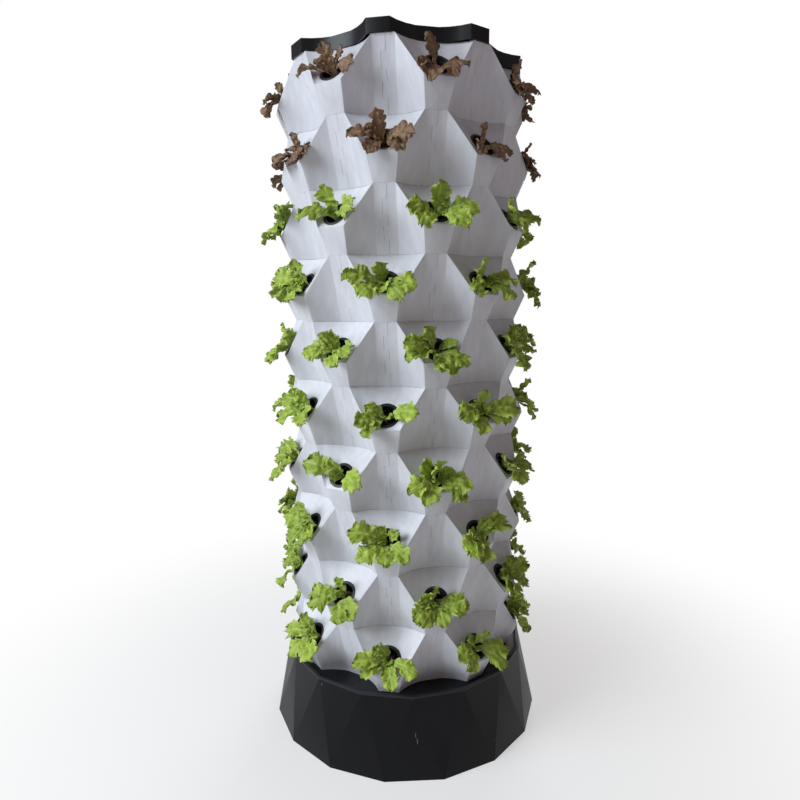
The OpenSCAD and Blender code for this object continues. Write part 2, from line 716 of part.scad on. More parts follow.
module pump_housing() {
    outlet_x = chamber_x + chamber_len / 2;
    color([0.1, 0.12, 0.16]) translate([-outlet_x, 0, 0]) difference() {
        union() {
            translate([0, 0, pump_floor_z]) pump_block(pump_w, pump_d, pump_h, pump_round);
            translate([outlet_x, 0, pump_top_z - eps])
                cylinder(d = pipe_d + 2 * socket_wall, h = socket_h);
        }
        along_shaft(chamber_x) cylinder(d = chamber_d, h = chamber_len + pump_wall + 1);
        along_shaft(chamber_x - magnet_len - 4) cylinder(d = magnet_bore, h = magnet_len + 5);
        along_shaft(chamber_x - magnet_len - 12) cylinder(d = shaft_d + 2 * shaft_clear, h = 10);
        translate([outlet_x, 0, shaft_z]) cylinder(d = pipe_d - 2 * pipe_wall - 8, h = pump_h);
        translate([outlet_x, 0, riser_foot_z]) cylinder(d = pipe_d + 2 * pipe_fit, h = socket_h + 5);
    }
}

// Slotted plate over the wet chamber, with the shaft's outer bearing
module pump_intake_grille() {
    outlet_x = chamber_x + chamber_len / 2;
    slot_area = chamber_d - 8;
    pitch = slot_area / grille_slots;
    color([0.1, 0.12, 0.16]) translate([-outlet_x, 0, 0]) {
        difference() {
            translate([pump_w / 2, 0, shaft_z]) rotate([0, 90, 0]) cylinder(d = chamber_d + 8, h = 4);
            for (i = [0 : grille_slots - 1])
                translate([pump_w / 2 - 1, -slot_area / 2 + i * pitch + grille_bar / 2,
                           shaft_z + shaft_d + 1])
                    cube([6, pitch - grille_bar, chamber_d / 2 - shaft_d - 5]);
            for (i = [0 : grille_slots - 1])
                translate([pump_w / 2 - 1, -slot_area / 2 + i * pitch + grille_bar / 2,
                           shaft_z - chamber_d / 2 + 4])
                    cube([6, pitch - grille_bar, chamber_d / 2 - shaft_d - 5]);
            along_shaft(pump_w / 2 - 1) cylinder(d = shaft_d + 2 * shaft_clear, h = 4);
        }
    }
}

module pump_impeller() {
    outlet_x = chamber_x + chamber_len / 2;
    blade_x = chamber_x + 3;
    color("ivory") translate([-outlet_x, 0, 0]) {
        along_shaft(chamber_x - magnet_len - 10)
            cylinder(d = shaft_d, h = pump_w / 2 + 2 - chamber_x + magnet_len + 10);
        along_shaft(chamber_x - magnet_len - 2) cylinder(d = magnet_d, h = magnet_len);
        along_shaft(chamber_x - 2 - eps) cylinder(d = magnet_d, h = 3);
        along_shaft(chamber_x + 1) cylinder(d = impeller_d, h = 2);
        for (i = [0 : blade_count - 1])
            translate([blade_x - eps, 0, shaft_z]) rotate([i * 360 / blade_count, 0, 0])
                translate([0, -1, 0]) cube([blade_len, 2, impeller_d / 2 - 0.5]);
    }
}

module pump_feet() {
    outlet_x = chamber_x + chamber_len / 2;
    color("dimgray") for (x = [-1, 1], y = [-1, 1])
        translate([x * (pump_w / 2 - pump_round - 3) - outlet_x, y * (pump_d / 2 - pump_round - 3),
                   tank_wall])
            rotate_extrude() polygon([[0, 2.5], [foot_d / 2 - 2, 0], [foot_d / 2, 0],
                                      [foot_d / 4, 5], [foot_d / 4, foot_h], [0, foot_h]]);
}

module pipe(z0, z1) {
    translate([0, 0, z0]) difference() {
        cylinder(d = pipe_d, h = z1 - z0);
        translate([0, 0, -1]) cylinder(d = pipe_d - 2 * pipe_wall, h = z1 - z0 + 2);
    }
}

module riser_lower() {
    color("gainsboro") pipe(riser_foot_z, riser_join_z - pipe_break / 2);
}

module riser_upper() {
    color("gainsboro") pipe(riser_join_z + pipe_break / 2, riser_top_z);
}

module riser_coupling() {
    half_len = coupling_len / 2 - pipe_break / 2;
    color("gray") translate([0, 0, riser_join_z - coupling_len / 2]) difference() {
        cylinder(d = pipe_d + 2 * coupling_wall, h = coupling_len);
        translate([0, 0, -1]) cylinder(d = pipe_d + 2 * pipe_fit, h = half_len + 1);
        translate([0, 0, coupling_len - half_len]) cylinder(d = pipe_d + 2 * pipe_fit, h = coupling_len);
        translate([0, 0, -1]) cylinder(d = pipe_d - 2 * pipe_wall, h = coupling_len + 2);
    }
}

// Round tray with drip holes, hung by its arms on the tongues of the top tier
module distributor_tray() {
    color("whitesmoke") difference() {
        union() {
            translate([0, 0, tray_z]) difference() {
                cylinder(r = tray_r, h = tray_h, $fn = 96);
                translate([0, 0, tray_t]) cylinder(r = tray_r - tray_t, h = tray_h, $fn = 96);
            }
            for (i = [0 : pots - 1]) rotate([0, 0, pot_azimuth(tiers, i)])
                translate([-arm_w / 2, -arm_r, tongue_top_z])
                    cube([arm_w, arm_r - tray_r + tray_t / 2, tray_t]);
            translate([0, 0, tray_z - hub_h]) cylinder(d = pipe_d + 2 * hub_wall, h = hub_h + eps);
        }
        translate([0, 0, tray_z - hub_h - 1])
            cylinder(d = pipe_d + 2 * pipe_gap, h = hub_h + tray_t + 2);
        for (i = [0 : drip_count - 1]) rotate([0, 0, i * 360 / drip_count])
            translate([0, tray_r - tray_t - drip_d, tray_z - 1]) cylinder(d = drip_d, h = tray_t + 2);
    }
}

// Outline of a tier joint grown by over, with the flats at the even columns
module joint_outline(over) {
    side = [for (i = [1 : last]) arc_pt(i - 1)];
    full = [for (c = [0 : pots - 1]) each concat(
        [for (j = [-last : last]) let (uv = j == 0 ? [0, crease_r] :
            [sign(j) * side[abs(j) - 1][0], side[abs(j) - 1][1]],
            a = (2 * c + 1) * half_pitch, p = at(a, uv[0], uv[1], 0))
            [p[0], p[1]] * (1 + over / joint_r)])];
    polygon(full);
}

module top_cover() {
    color(plastic_black) rotate([0, 0, cap_turn]) translate([0, 0, top_z + cap_play]) {
        difference() {
            linear_extrude(cap_h) joint_outline(cap_over);
            translate([0, 0, -1]) linear_extrude(cap_h + 1 - cap_t)
                joint_outline(cap_gap - wall - lock_clear);
        }
        difference() {
            translate([0, 0, -ring_h])
                cylinder(r = ring_r, h = cap_h + ring_h - cap_t + eps, $fn = 96);
            translate([0, 0, -ring_h - 1])
                cylinder(r = ring_r - ring_t, h = cap_h + ring_h - cap_t + 2, $fn = 96);
            for (i = [0 : pots - 1]) rotate([0, 0, pot_azimuth(tiers, i)])
                translate([-notch_w / 2, -joint_r, -ring_h - 1])
                    cube([notch_w, joint_r / 2, ring_h + tongue_h + tray_t + 4]);
        }
    }
}

tank_shell();
tank_cover();
cable_gland();
drain_tap_body();
drain_tap_lever();
drain_tap_nut();
drain_tap_washer();
pump_housing();
pump_intake_grille();
pump_impeller();
pump_feet();
riser_lower();
riser_coupling();
riser_upper();
distributor_tray();
top_cover();
tier(0);  // tier_01
tier(1);  // tier_02
tier(2);  // tier_03
tier(3);  // tier_04
tier(4);  // tier_05
tier(5);  // tier_06
tier(6);  // tier_07
tier(7);  // tier_08
tier(8);  // tier_09
tier(9);  // tier_10
cups_of(0, lift_pot(0));  // net_cups_01
cups_of(1, lift_pot(1));  // net_cups_02
cups_of(2, lift_pot(2));  // net_cups_03
cups_of(3, lift_pot(3));  // net_cups_04
cups_of(4, lift_pot(4));  // net_cups_05
cups_of(5, lift_pot(5));  // net_cups_06
cups_of(6, lift_pot(6));  // net_cups_07
cups_of(7, lift_pot(7));  // net_cups_08
cups_of(8, lift_pot(8));  // net_cups_09
cups_of(9, lift_pot(9));  // net_cups_10
seedlings_of(0, lift_pot(0));  // seedlings_01
seedlings_of(1, lift_pot(1));  // seedlings_02
seedlings_of(2, lift_pot(2));  // seedlings_03
seedlings_of(3, lift_pot(3));  // seedlings_04
seedlings_of(4, lift_pot(4));  // seedlings_05
seedlings_of(5, lift_pot(5));  // seedlings_06
seedlings_of(6, lift_pot(6));  // seedlings_07
seedlings_of(7, lift_pot(7));  // seedlings_08
seedlings_of(8, lift_pot(8));  // seedlings_09
seedlings_of(9, lift_pot(9));  // seedlings_10
growing_plugs();
color(plastic_black) front_pot(LOW_TIER) net_cup();  // front_cup_low
color("tan") front_pot(LOW_TIER) plug();  // front_plug_low
color(leaf_green) front_pot(LOW_TIER) seedling(seedling_turn(LOW_TIER, 0));  // front_seedling_low
color(plastic_black) front_pot(HIGH_TIER) net_cup();  // front_cup_high
color("tan") front_pot(HIGH_TIER) plug();  // front_plug_high
color(leaf_red) front_pot(HIGH_TIER) seedling(seedling_turn(HIGH_TIER, 0));  // front_seedling_high
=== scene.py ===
"""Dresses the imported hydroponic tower: moulded tiers, net cups, leafy seedlings and a studio."""
import math
import random

import bmesh
import bpy
from bpy.props import FloatProperty, FloatVectorProperty, IntProperty, PointerProperty
from mathutils import Matrix, Vector, noise


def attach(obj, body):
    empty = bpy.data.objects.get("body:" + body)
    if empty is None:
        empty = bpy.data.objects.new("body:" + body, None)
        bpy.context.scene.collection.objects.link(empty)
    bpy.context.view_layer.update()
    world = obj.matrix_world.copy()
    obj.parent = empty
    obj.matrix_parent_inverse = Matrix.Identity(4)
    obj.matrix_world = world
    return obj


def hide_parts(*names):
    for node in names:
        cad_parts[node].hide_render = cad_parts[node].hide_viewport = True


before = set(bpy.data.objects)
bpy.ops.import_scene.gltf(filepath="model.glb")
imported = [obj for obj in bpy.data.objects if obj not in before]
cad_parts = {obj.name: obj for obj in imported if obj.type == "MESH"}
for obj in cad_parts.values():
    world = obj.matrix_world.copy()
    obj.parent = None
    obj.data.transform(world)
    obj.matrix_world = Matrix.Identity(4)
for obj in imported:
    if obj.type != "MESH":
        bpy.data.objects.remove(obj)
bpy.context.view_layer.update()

bl_info = {
    "name": "Hydroponic Tower Dresser",
    "version": (1, 0, 0),
    "blender": (4, 5, 0),
    "location": "3D View > Sidebar > Tower",
    "description": "Moulded tiers, net cups, seedlings, tank and studio for a hydroponic tower",
    "category": "Object",
}

# Counts, sizes and angles that the CAD frame fixes, in metres and radians
TIERS = 10
POTS = 8
LIFT_TIERS = {2: "low", 8: "high"}
RED_TIERS = 2
HALF_PITCH = math.pi / POTS
TOWER_Z = 0.165
TIER_H = 0.135
JOINT_R = 0.2616
JOINT_W = 0.0458
CREASE_R = 0.222
LIP_R = 0.2849
LIP_W = 0.0648
LIP_Z = 0.0538
WALL = 0.0032
JOINT_LINE = 0.0004
SEAT_V = 0.26430
SEAT_Z = 0.07961
SEAT_TILT = math.atan2(TIER_H - LIP_Z, LIP_R - CREASE_R)
POT_SEAT = Matrix.Translation((0, -SEAT_V, SEAT_Z)) @ Matrix.Rotation(SEAT_TILT, 4, "X")
POT_HOLE_R = 0.0293
COLLAR_BORE = 0.0248
COLLAR_R = 0.0313
COLLAR_DEPTH = 0.012
COLLAR_EDGE = 0.0004
CUP_RIM_D = 0.057
CUP_TOP_D = 0.048
CUP_FLOOR_D = 0.036
CUP_DEPTH = 0.045
CUP_WALL = 0.0016
PLUG_H = 0.026
PLUG_TOP = -CUP_DEPTH + CUP_WALL + PLUG_H
TONGUE_H = 0.008
TONGUE_PLAY = 0.0014
FLANGE_DEPTH = 0.011
FLANGE_T = 0.0026
FLANGE_PLAY = 0.0004
SEAM_ROOM = 0.0003
# Height in metres from which the tank's rim bead gets a painted highlight, and the fade into it
BEAD_HIGHLIGHT_Z, BEAD_HIGHLIGHT_FADE = 0.1705, 0.0015
LEAF_ROOM = 0.329

# Distances in metres at which mesh points are joined: new surfaces, CAD faces, a segment's skin
WELD = 1e-6
CAD_WELD = 2e-6
SKIN_WELD = 5e-6

# Angles in degrees: what counts as flat, as a ridge to round and as a smooth bend
FLAT_WITHIN = 0.6
SEGMENT_RIDGE = 9.5
TANK_RIDGE = 8.0
TOP_RIDGE = 28.0
FITTING_RIDGE = 40.0
SMOOTH_BELOW = 32.0
TIER_SMOOTH = 24.0
CUP_SMOOTH = 35.0
TOP_SMOOTH = 20.0
ALL_SMOOTH = 180.0

ROUND_STEPS = 40
BEVEL_STEPS = 2


# Points and outlines

def around(azimuth, u, v, z):
    """Point at tangent offset u and radius v beside the column at azimuth."""
    return Vector((v * math.sin(azimuth) + u * math.cos(azimuth),
                   -v * math.cos(azimuth) + u * math.sin(azimuth), z))


def mix(a, b, t):
    return a + (b - a) * t


def clamp(value, low=0.0, high=1.0):
    return max(low, min(high, value))


def strip_v(z):
    """Radius of the flat strip in a recess at height z of its tier."""
    return mix(CREASE_R, JOINT_R, z / TIER_H)


def joint_corner():
    """Joint corner of the next column, in the frame of a recess."""
    reach = math.hypot(JOINT_W / 2, JOINT_R)
    angle = HALF_PITCH - math.atan2(JOINT_W / 2, JOINT_R)
    return reach * math.sin(angle), reach * math.cos(angle)


def joint_arc(steps):
    """Concave arc of a tier joint from the strip's edge to the joint corner."""
    end_u, end_v = joint_corner()
    start_u = JOINT_W / 2
    centre = (end_u ** 2 + end_v ** 2 - start_u ** 2 - CREASE_R ** 2) / (2 * (end_v - CREASE_R))
    radius = math.hypot(start_u, centre - CREASE_R)
    a0, a1 = math.asin(start_u / radius), math.asin(end_u / radius)
    angles = [mix(a0, a1, i / steps) for i in range(steps + 1)]
    return [(radius * math.sin(a), centre - radius * math.cos(a)) for a in angles]


def lip_arc(steps):
    """The same arc at the height of the lips."""
    end_u, end_v = joint_corner()
    corner_u = LIP_R * math.sin(HALF_PITCH) - LIP_W / 2 * math.cos(HALF_PITCH)
    corner_v = LIP_R * math.cos(HALF_PITCH) + LIP_W / 2 * math.sin(HALF_PITCH)
    points = []
    for u, v in joint_arc(steps):
        t = (u - JOINT_W / 2) / (end_u - JOINT_W / 2)
        bulge = (v - mix(CREASE_R, end_v, t)) * (1 - LIP_Z / TIER_H)
        points.append((mix(JOINT_W / 2, corner_u, t), mix(strip_v(LIP_Z), corner_v, t) + bulge))
    return points


def pot_turn(tier, pot):
    """Turn about the tower's axis to a pot; every other tier stands half a pitch round."""
    return Matrix.Rotation((2 * pot + tier % 2) * HALF_PITCH, 4, "Z")


def seat_matrix(tier, pot):
    """Frame of a pot's seat: +Z out of the cup, +Y up the scoop."""
    return (pot_turn(tier, pot)
            @ Matrix.Translation((0, -SEAT_V, SEAT_Z + TOWER_Z + tier * TIER_H))
            @ Matrix.Rotation(SEAT_TILT, 4, "X"))


def fixed_pots(tier):
    """Pots of a tier whose cups have no body of their own."""
    return [pot for pot in range(POTS) if pot or tier not in LIFT_TIERS]


def is_red(tier):
    return tier >= TIERS - RED_TIERS


# Mesh helpers

def wire(bm, points, closed=False):
    """Edges through new vertices at points."""
    verts = [bm.verts.new(p) for p in points]
    ends = verts[1:] + (verts[:1] if closed else [])
    return [bm.edges.new(pair) for pair in zip(verts, ends)]


def ribbon(bm, row, other):
    """Surface between two rows of as many points."""
    bmesh.ops.bridge_loops(bm, edges=wire(bm, row) + wire(bm, other))


def only_verts(geometry):
    return [part for part in geometry if isinstance(part, bmesh.types.BMVert)]


def fan(bm, row, tip):
    """Surface between a row of points and one point."""
    lifted = bmesh.ops.extrude_edge_only(bm, edges=wire(bm, row))["geom"]
    bmesh.ops.pointmerge(bm, verts=only_verts(lifted), merge_co=tip)


def plate(bm, points):
    """Flat face through points."""
    return bm.faces.new([bm.verts.new(p) for p in points])


def lathe(bm, profile, steps, closed=True):
    """Surface of revolution about +Z from (radius, height) pairs."""
    edges = wire(bm, [(r, 0, z) for r, z in profile], closed)
    verts = list({v for e in edges for v in e.verts})
    bmesh.ops.spin(bm, geom=verts + edges, cent=(0, 0, 0), axis=(0, 0, 1), dvec=(0, 0, 0),
                   angle=math.tau, steps=steps, use_merge=True, use_duplicate=False)
    bmesh.ops.remove_doubles(bm, verts=bm.verts, dist=WELD)


def chamfer(bm, edges, width):
    """Rounds edges over the given width."""
    bmesh.ops.bevel(bm, geom=edges, offset=width, offset_type="OFFSET", segments=BEVEL_STEPS,
                    profile=0.5, affect="EDGES", clamp_overlap=True, material=-1)


def sharp_edges(bm, degrees):
    """Edges whose two faces meet at more than the given angle."""
    limit = math.radians(degrees)
    return [e for e in bm.edges if len(e.link_faces) == 2 and e.calc_face_angle(0) > limit]


def new_mesh(bm, name):
    """Mesh with the geometry of bm, which is freed."""
    mesh = bpy.data.meshes.new(name)
    bm.to_mesh(mesh)
    bm.free()
    return mesh


def absorb(bm, part):
    """Moves the geometry of part into bm."""
    mesh = new_mesh(part, "absorbed")
    bm.from_mesh(mesh)
    bpy.data.meshes.remove(mesh)


def thicken(sheet, name, thickness, offset):
    """Gives a sheet a wall: behind its faces at offset -1, on both sides at 0."""
    wall = sheet.modifiers.new(name, "SOLIDIFY")
    wall.thickness = thickness
    wall.offset = offset
    return wall


def finish_mesh(bm, name, smooth_below=SMOOTH_BELOW):
    """New object from bm that is smooth but for bends of smooth_below degrees and more."""
    mesh = new_mesh(bm, name)
    for polygon in mesh.polygons:
        polygon.use_smooth = True
    mesh.set_sharp_from_angle(angle=math.radians(smooth_below))
    obj = bpy.data.objects.new(name, mesh)
    bpy.context.scene.collection.objects.link(obj)
    return obj


def join_copies(source, matrices, name, smooth_below):
    """One object from copies of a mesh."""
    bm = bmesh.new()
    for matrix in matrices:
        start = len(bm.verts)
        bm.from_mesh(source)
        bm.verts.ensure_lookup_table()
        bmesh.ops.transform(bm, matrix=matrix, verts=bm.verts[start:])
    return finish_mesh(bm, name, smooth_below)


def evaluated(obj):
    """Mesh of obj with its modifiers applied; obj is removed."""
    bpy.context.view_layer.update()
    graph = bpy.context.evaluated_depsgraph_get()
    mesh = bpy.data.meshes.new_from_object(obj.evaluated_get(graph), depsgraph=graph)
    bpy.data.objects.remove(obj, do_unlink=True)
    return mesh


def softened_copy(node, name, width, ridge=FITTING_RIDGE, smooth_below=SMOOTH_BELOW):
    """Copy of a CAD node with its coplanar faces joined and its ridges rounded."""
    bm = bmesh.new()
    bm.from_mesh(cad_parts[node].data)
    bmesh.ops.remove_doubles(bm, verts=bm.verts, dist=CAD_WELD)
    bmesh.ops.dissolve_limit(bm, angle_limit=math.radians(FLAT_WITHIN), verts=bm.verts,
                             edges=bm.edges)
    chamfer(bm, sharp_edges(bm, ridge), width)
    bmesh.ops.remove_doubles(bm, verts=bm.verts, dist=WELD)
    obj = finish_mesh(bm, name, smooth_below)
    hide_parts(node)
    return obj


def place(obj, body, material):
    """Gives a piece its body and material."""
    obj.data.materials.clear()
    obj.data.materials.append(material)
    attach(obj, body)


# Materials

SCRATCH_GREY = (0.24, 0.23, 0.23)
NOISE_ROUGHNESS = 0.55


class Wire:
    """Socket of a shader node that takes part in plain arithmetic."""

    def __init__(self, finish, socket):
        self.finish = finish
        self.socket = socket

    def _maths(self, operation, *values):
        return self.finish.node("ShaderNodeMath", {"operation": operation}, *values)

    def __add__(self, other): return self._maths("ADD", self, other)
    def __radd__(self, other): return self._maths("ADD", other, self)
    def __sub__(self, other): return self._maths("SUBTRACT", self, other)
    def __rsub__(self, other): return self._maths("SUBTRACT", other, self)
    def __mul__(self, other): return self._maths("MULTIPLY", self, other)
    def __rmul__(self, other): return self._maths("MULTIPLY", other, self)

    def above(self, level, softness):
        """0 below level, 1 above level + softness."""
        return self.finish.node("ShaderNodeMapRange", {"interpolation_type": "SMOOTHSTEP"}, **{
            "Value": self, "From Min": level, "From Max": level + softness,
            "To Min": 0.0, "To Max": 1.0})


class Finish:
    """A material on Principled BSDF whose values come from expressions."""

    def __init__(self, name, colour, roughness, **constants):
        self.material = bpy.data.materials.new(name)
        self.material.use_nodes = True
        self.material.diffuse_color = (*colour, 1.0)
        self.tree = self.material.node_tree
        self.shader = self.tree.nodes["Principled BSDF"]
        self.shader.inputs["Base Color"].default_value = (*colour, 1.0)
        self.shader.inputs["Roughness"].default_value = roughness
        for socket, value in constants.items():
            self.shader.inputs[socket.replace("_", " ")].default_value = value

    def node(self, kind, settings=None, *values, output=0, **named):
        """Adds any node, with its settings first and then its sockets' values or links."""
        made = self.tree.nodes.new(kind)
        for key, value in (settings or {}).items():
            setattr(made, key, value)
        for key, value in list(enumerate(values)) + list(named.items()):
            self.feed(made.inputs[key], value)
        return Wire(self, made.outputs[output])

    def feed(self, socket, value):
        """Links a wire to a socket, or gives the socket a value."""
        if isinstance(value, Wire):
            self.tree.links.new(value.socket, socket)
        elif isinstance(value, (tuple, list)) and socket.type == "RGBA":
            socket.default_value = (*value[:3], 1.0)
        else:
            socket.default_value = value

    def position(self, scale=(1, 1, 1)):
        """Object coordinates, stretched by scale."""
        coordinates = self.node("ShaderNodeTexCoord", output="Object")
        return self.node("ShaderNodeVectorMath", {"operation": "MULTIPLY"}, coordinates, scale)

    def grain(self, scale, detail, stretch=(1, 1, 1)):
        """Noise from 0 to 1."""
        return self.node("ShaderNodeTexNoise", output="Fac", Vector=self.position(stretch),
                         Scale=scale, Detail=detail, Roughness=NOISE_ROUGHNESS)

    def blend(self, amount, first, second):
        """Colour between first and second by amount."""
        made = self.tree.nodes.new("ShaderNodeMix")
        made.data_type = "RGBA"
        self.feed(made.inputs["Factor"], amount)
        for name, value in (("A", first), ("B", second)):
            self.feed(next(s for s in made.inputs if s.name == name and s.type == "RGBA"), value)
        return Wire(self, next(s for s in made.outputs if s.type == "RGBA"))

    def attribute(self, name):
        return self.node("ShaderNodeAttribute", {"attribute_name": name}, output="Fac")

    def colour(self, value):
        self.feed(self.shader.inputs["Base Color"], value)

    def rough(self, value):
        self.feed(self.shader.inputs["Roughness"], value)

    def bump(self, height, distance):
        """Surface relief from a height field; distance is its depth in metres."""
        relief = self.node("ShaderNodeBump", output="Normal", Height=height, Distance=distance,
                           Strength=1.0)
        self.feed(self.shader.inputs["Normal"], relief)


def shade(colour, factor):
    """Lighter or darker colour."""
    return tuple(clamp(c * factor) for c in colour)


def tower_plastic(colour):
    """White moulded plastic with faint upright flow marks and a fine satin grain."""
    finish = Finish("tower_plastic", colour, 0.42, Coat_Weight=0.08, Coat_Roughness=0.25)
    streaks = finish.grain(9.0, 4.0, stretch=(7, 7, 0.5))
    clouds = finish.grain(5.0, 2.0)
    tone = finish.blend(streaks.above(0.38, 0.3), shade(colour, 0.93), shade(colour, 1.02))
    dull = (colour[0] * 0.95, colour[1] * 0.9, colour[2] * 0.9)
    finish.colour(finish.blend(clouds.above(0.45, 0.3) * 0.35, tone, dull))
    finish.rough(0.36 + streaks * 0.14)
    flow = finish.grain(60.0, 3.0, stretch=(3, 3, 0.4))
    finish.bump(finish.grain(900.0, 2.0) * 0.5 + flow, 0.00012)
    return finish.material


def tank_plastic(colour):
    """Black satin moulding with a soft haze, a few pale scratches and a painted highlight along
    the rim bead.
    """
    finish = Finish("tank_plastic", colour, 0.4, Specular_IOR_Level=0.12)
    scratches = (finish.grain(26.0, 2.0, stretch=(1.2, 1.2, 0.35)).above(0.69, 0.02)
                 * finish.grain(210.0, 1.0, stretch=(1, 1, 0.12)).above(0.6, 0.05))
    haze = finish.grain(7.0, 4.0)
    body = finish.blend(haze.above(0.4, 0.4) * 0.5, colour, shade(colour, 1.8))
    height = finish.node("ShaderNodeSeparateXYZ", None, finish.position(), output="Z")
    # Painted highlight: the rim bead above its height is painted much lighter, for the light it
    # catches
    body = finish.blend(height.above(BEAD_HIGHLIGHT_Z, BEAD_HIGHLIGHT_FADE), body, shade(colour, 4.5))
    finish.colour(finish.blend(scratches * 0.6, body, SCRATCH_GREY))
    finish.rough(0.32 + haze * 0.16 + scratches * 0.3)
    finish.bump(finish.grain(240.0, 3.0) - scratches * 0.6, 0.0001)
    return finish.material


def textured_plastic(name, colour, roughness, grain_scale, depth):
    """Dark moulding with a leather-like grain of the given scale and depth."""
    finish = Finish(name, colour, roughness, Specular_IOR_Level=0.3)
    clouds = finish.grain(18.0, 3.0)
    finish.colour(finish.blend(clouds.above(0.35, 0.4), shade(colour, 0.8), shade(colour, 1.5)))
    finish.rough(roughness - 0.06 + clouds * 0.14)
    finish.bump(finish.grain(grain_scale, 4.0), depth)
    return finish.material


def plain_plastic(name, colour, roughness):
    """Moulding with slight cloudiness and satin grain."""
    finish = Finish(name, colour, roughness)
    clouds = finish.grain(30.0, 3.0)
    finish.colour(finish.blend(clouds.above(0.35, 0.4), shade(colour, 0.92), shade(colour, 1.06)))
    finish.rough(roughness - 0.05 + clouds * 0.1)
    finish.bump(finish.grain(1100.0, 2.0), 0.00006)
    return finish.material


def foam(colour):
    """Open growing foam, with painted shade in its pores."""
    finish = Finish("growing_foam", colour, 0.95)
    pores = finish.node("ShaderNodeTexVoronoi", output="Distance", Vector=finish.position(),
                        Scale=700.0)
    # Painted shade: the pores are painted down to a third of the colour, for the shade in their
    # hollows
    finish.colour(finish.blend(pores.above(0.15, 0.5), shade(colour, 0.35), colour))
    finish.bump(pores, 0.0007)
    return finish.material


def leaf_skin(name, blade, edge, rib):
    """Lettuce leaf: pale ribs, netted veins, uneven blade colour and a crinkled surface."""
    finish = Finish(name, blade, 0.5, Specular_IOR_Level=0.4)
    across = finish.attribute("across")
    along = finish.attribute("along")
    tint = finish.attribute("tint")
    side = finish.node("ShaderNodeMath", {"operation": "ABSOLUTE"}, across)
    midrib = 1.0 - side.above(0.03, 0.13)
    stalk = 1.0 - along.above(0.25, 0.3)
    branches = finish.node("ShaderNodeMath", {"operation": "SINE"},
                           along * 42.0 - side * 16.0).above(0.78, 0.2)
    clouds = finish.grain(70.0, 3.0)
    body = finish.blend(clouds.above(0.3, 0.4), shade(blade, 0.72), shade(blade, 1.12))
    body = finish.blend(side.above(0.35, 0.6) * 0.7, body, edge)
    body = finish.blend(tint * 0.6, body, shade(blade, 0.5))
    body = finish.blend(branches * 0.28, body, rib)
    body = finish.blend(midrib * (1.0 - along * 0.6) * 0.75, body, rib)
    finish.colour(finish.blend(stalk * 0.85, body, rib))
    finish.rough(0.42 + clouds * 0.2)
    finish.bump(finish.grain(320.0, 3.0) - branches * 0.5 - midrib * 0.8, 0.0006)
    return finish.material


# Settings

def colour_property(name, description, default):
    return FloatVectorProperty(name=name, description=description, subtype="COLOR", size=3,
                               min=0.0, max=1.0, default=default)


def length_property(name, description, default, low, high):
    return FloatProperty(name=name, description=description, unit="LENGTH", default=default,
                         min=low, max=high)


def power_property(name, default):
    return FloatProperty(name=name, description=f"Power of the {name.lower()} lamp in watts",
                         default=default, min=0.0, max=500.0)


class TowerSettings(bpy.types.PropertyGroup):
    """Tiers, tank and covers."""
    plastic: colour_property("Plastic", "Colour of the tiers", (0.72, 0.72, 0.77))
    black: colour_property("Black", "Colour of the tank and the top cover", (0.007, 0.007, 0.0085))
    plate: colour_property("Cover plate", "Colour of the tank's cover", (0.009, 0.010, 0.013))
    edge_round: length_property("Edge round", "Rounding of the ridges", 0.0010, 0.0003, 0.002)
    jog_right: length_property("Right jog", "Seam offset at its right fingers", 0.004, 0.0, 0.012)
    jog_left: length_property("Left jog", "Seam offset at its left fingers", 0.006, 0.0, 0.018)
    seam_gap: length_property("Seam gap", "Gap along a seam", 0.0005, 0.0003, 0.0015)
    arc_steps: IntProperty(name="Arc steps", description="Panels in a recess's side",
                           default=8, min=3, max=16)


class CupSettings(bpy.types.PropertyGroup):
    """Net cups."""
    colour: colour_property("Cup", "Colour of the net cups", (0.008, 0.008, 0.009))
    ribs: IntProperty(name="Ribs", description="Ribs round a cup", default=16, min=8, max=24)


class PlantSettings(bpy.types.PropertyGroup):
    """Seedlings."""
    green: colour_property("Green leaf", "Colour of the green seedlings", (0.37, 0.51, 0.040))
    green_edge: colour_property("Green edge", "Colour of their edges", (0.60, 0.74, 0.16))
    green_rib: colour_property("Green rib", "Colour of their ribs", (0.56, 0.71, 0.24))
    red: colour_property("Red leaf", "Colour of the red seedlings", (0.29, 0.165, 0.09))
    red_edge: colour_property("Red edge", "Colour of their edges", (0.20, 0.10, 0.065))
    red_rib: colour_property("Red rib", "Colour of their ribs", (0.42, 0.31, 0.16))
    leaf_length: length_property("Leaf length", "Length of a leaf with its stalk",
                                 0.092, 0.05, 0.11)
    leaf_width: length_property("Leaf width", "Width of a leaf", 0.052, 0.02, 0.07)
    ruffle: length_property("Ruffle", "Height of the waves along a leaf's edge",
                            0.0072, 0.0, 0.01)
    seed: IntProperty(name="Seed", description="Seed of the leaves' variation", default=7,
                      min=0, max=999)


class StudioSettings(bpy.types.PropertyGroup):
    """Floor, lamps and room light."""
    floor: colour_property("Floor", "Colour of the floor", (0.86, 0.86, 0.86))
    key_power: power_property("Key", 52.0)
    fill_power: power_property("Fill", 8.0)
    back_power: power_property("Back", 24.0)
    room: FloatProperty(name="Room light", description="Strength of the light all round",
                        default=0.15, min=0.0, max=2.0)


# Tiers

# Heights where a seam's fingers begin, each with the side they point to: 1 right, -1 left
SEAM_STEPS = ((JOINT_LINE, 1), (0.028, -1), (0.056, 1), (0.077, -1), (0.106, 1), (TIER_H, 1))
FLANGE_BEVEL = 0.002
HOLE_CUT_DEPTH = 0.03


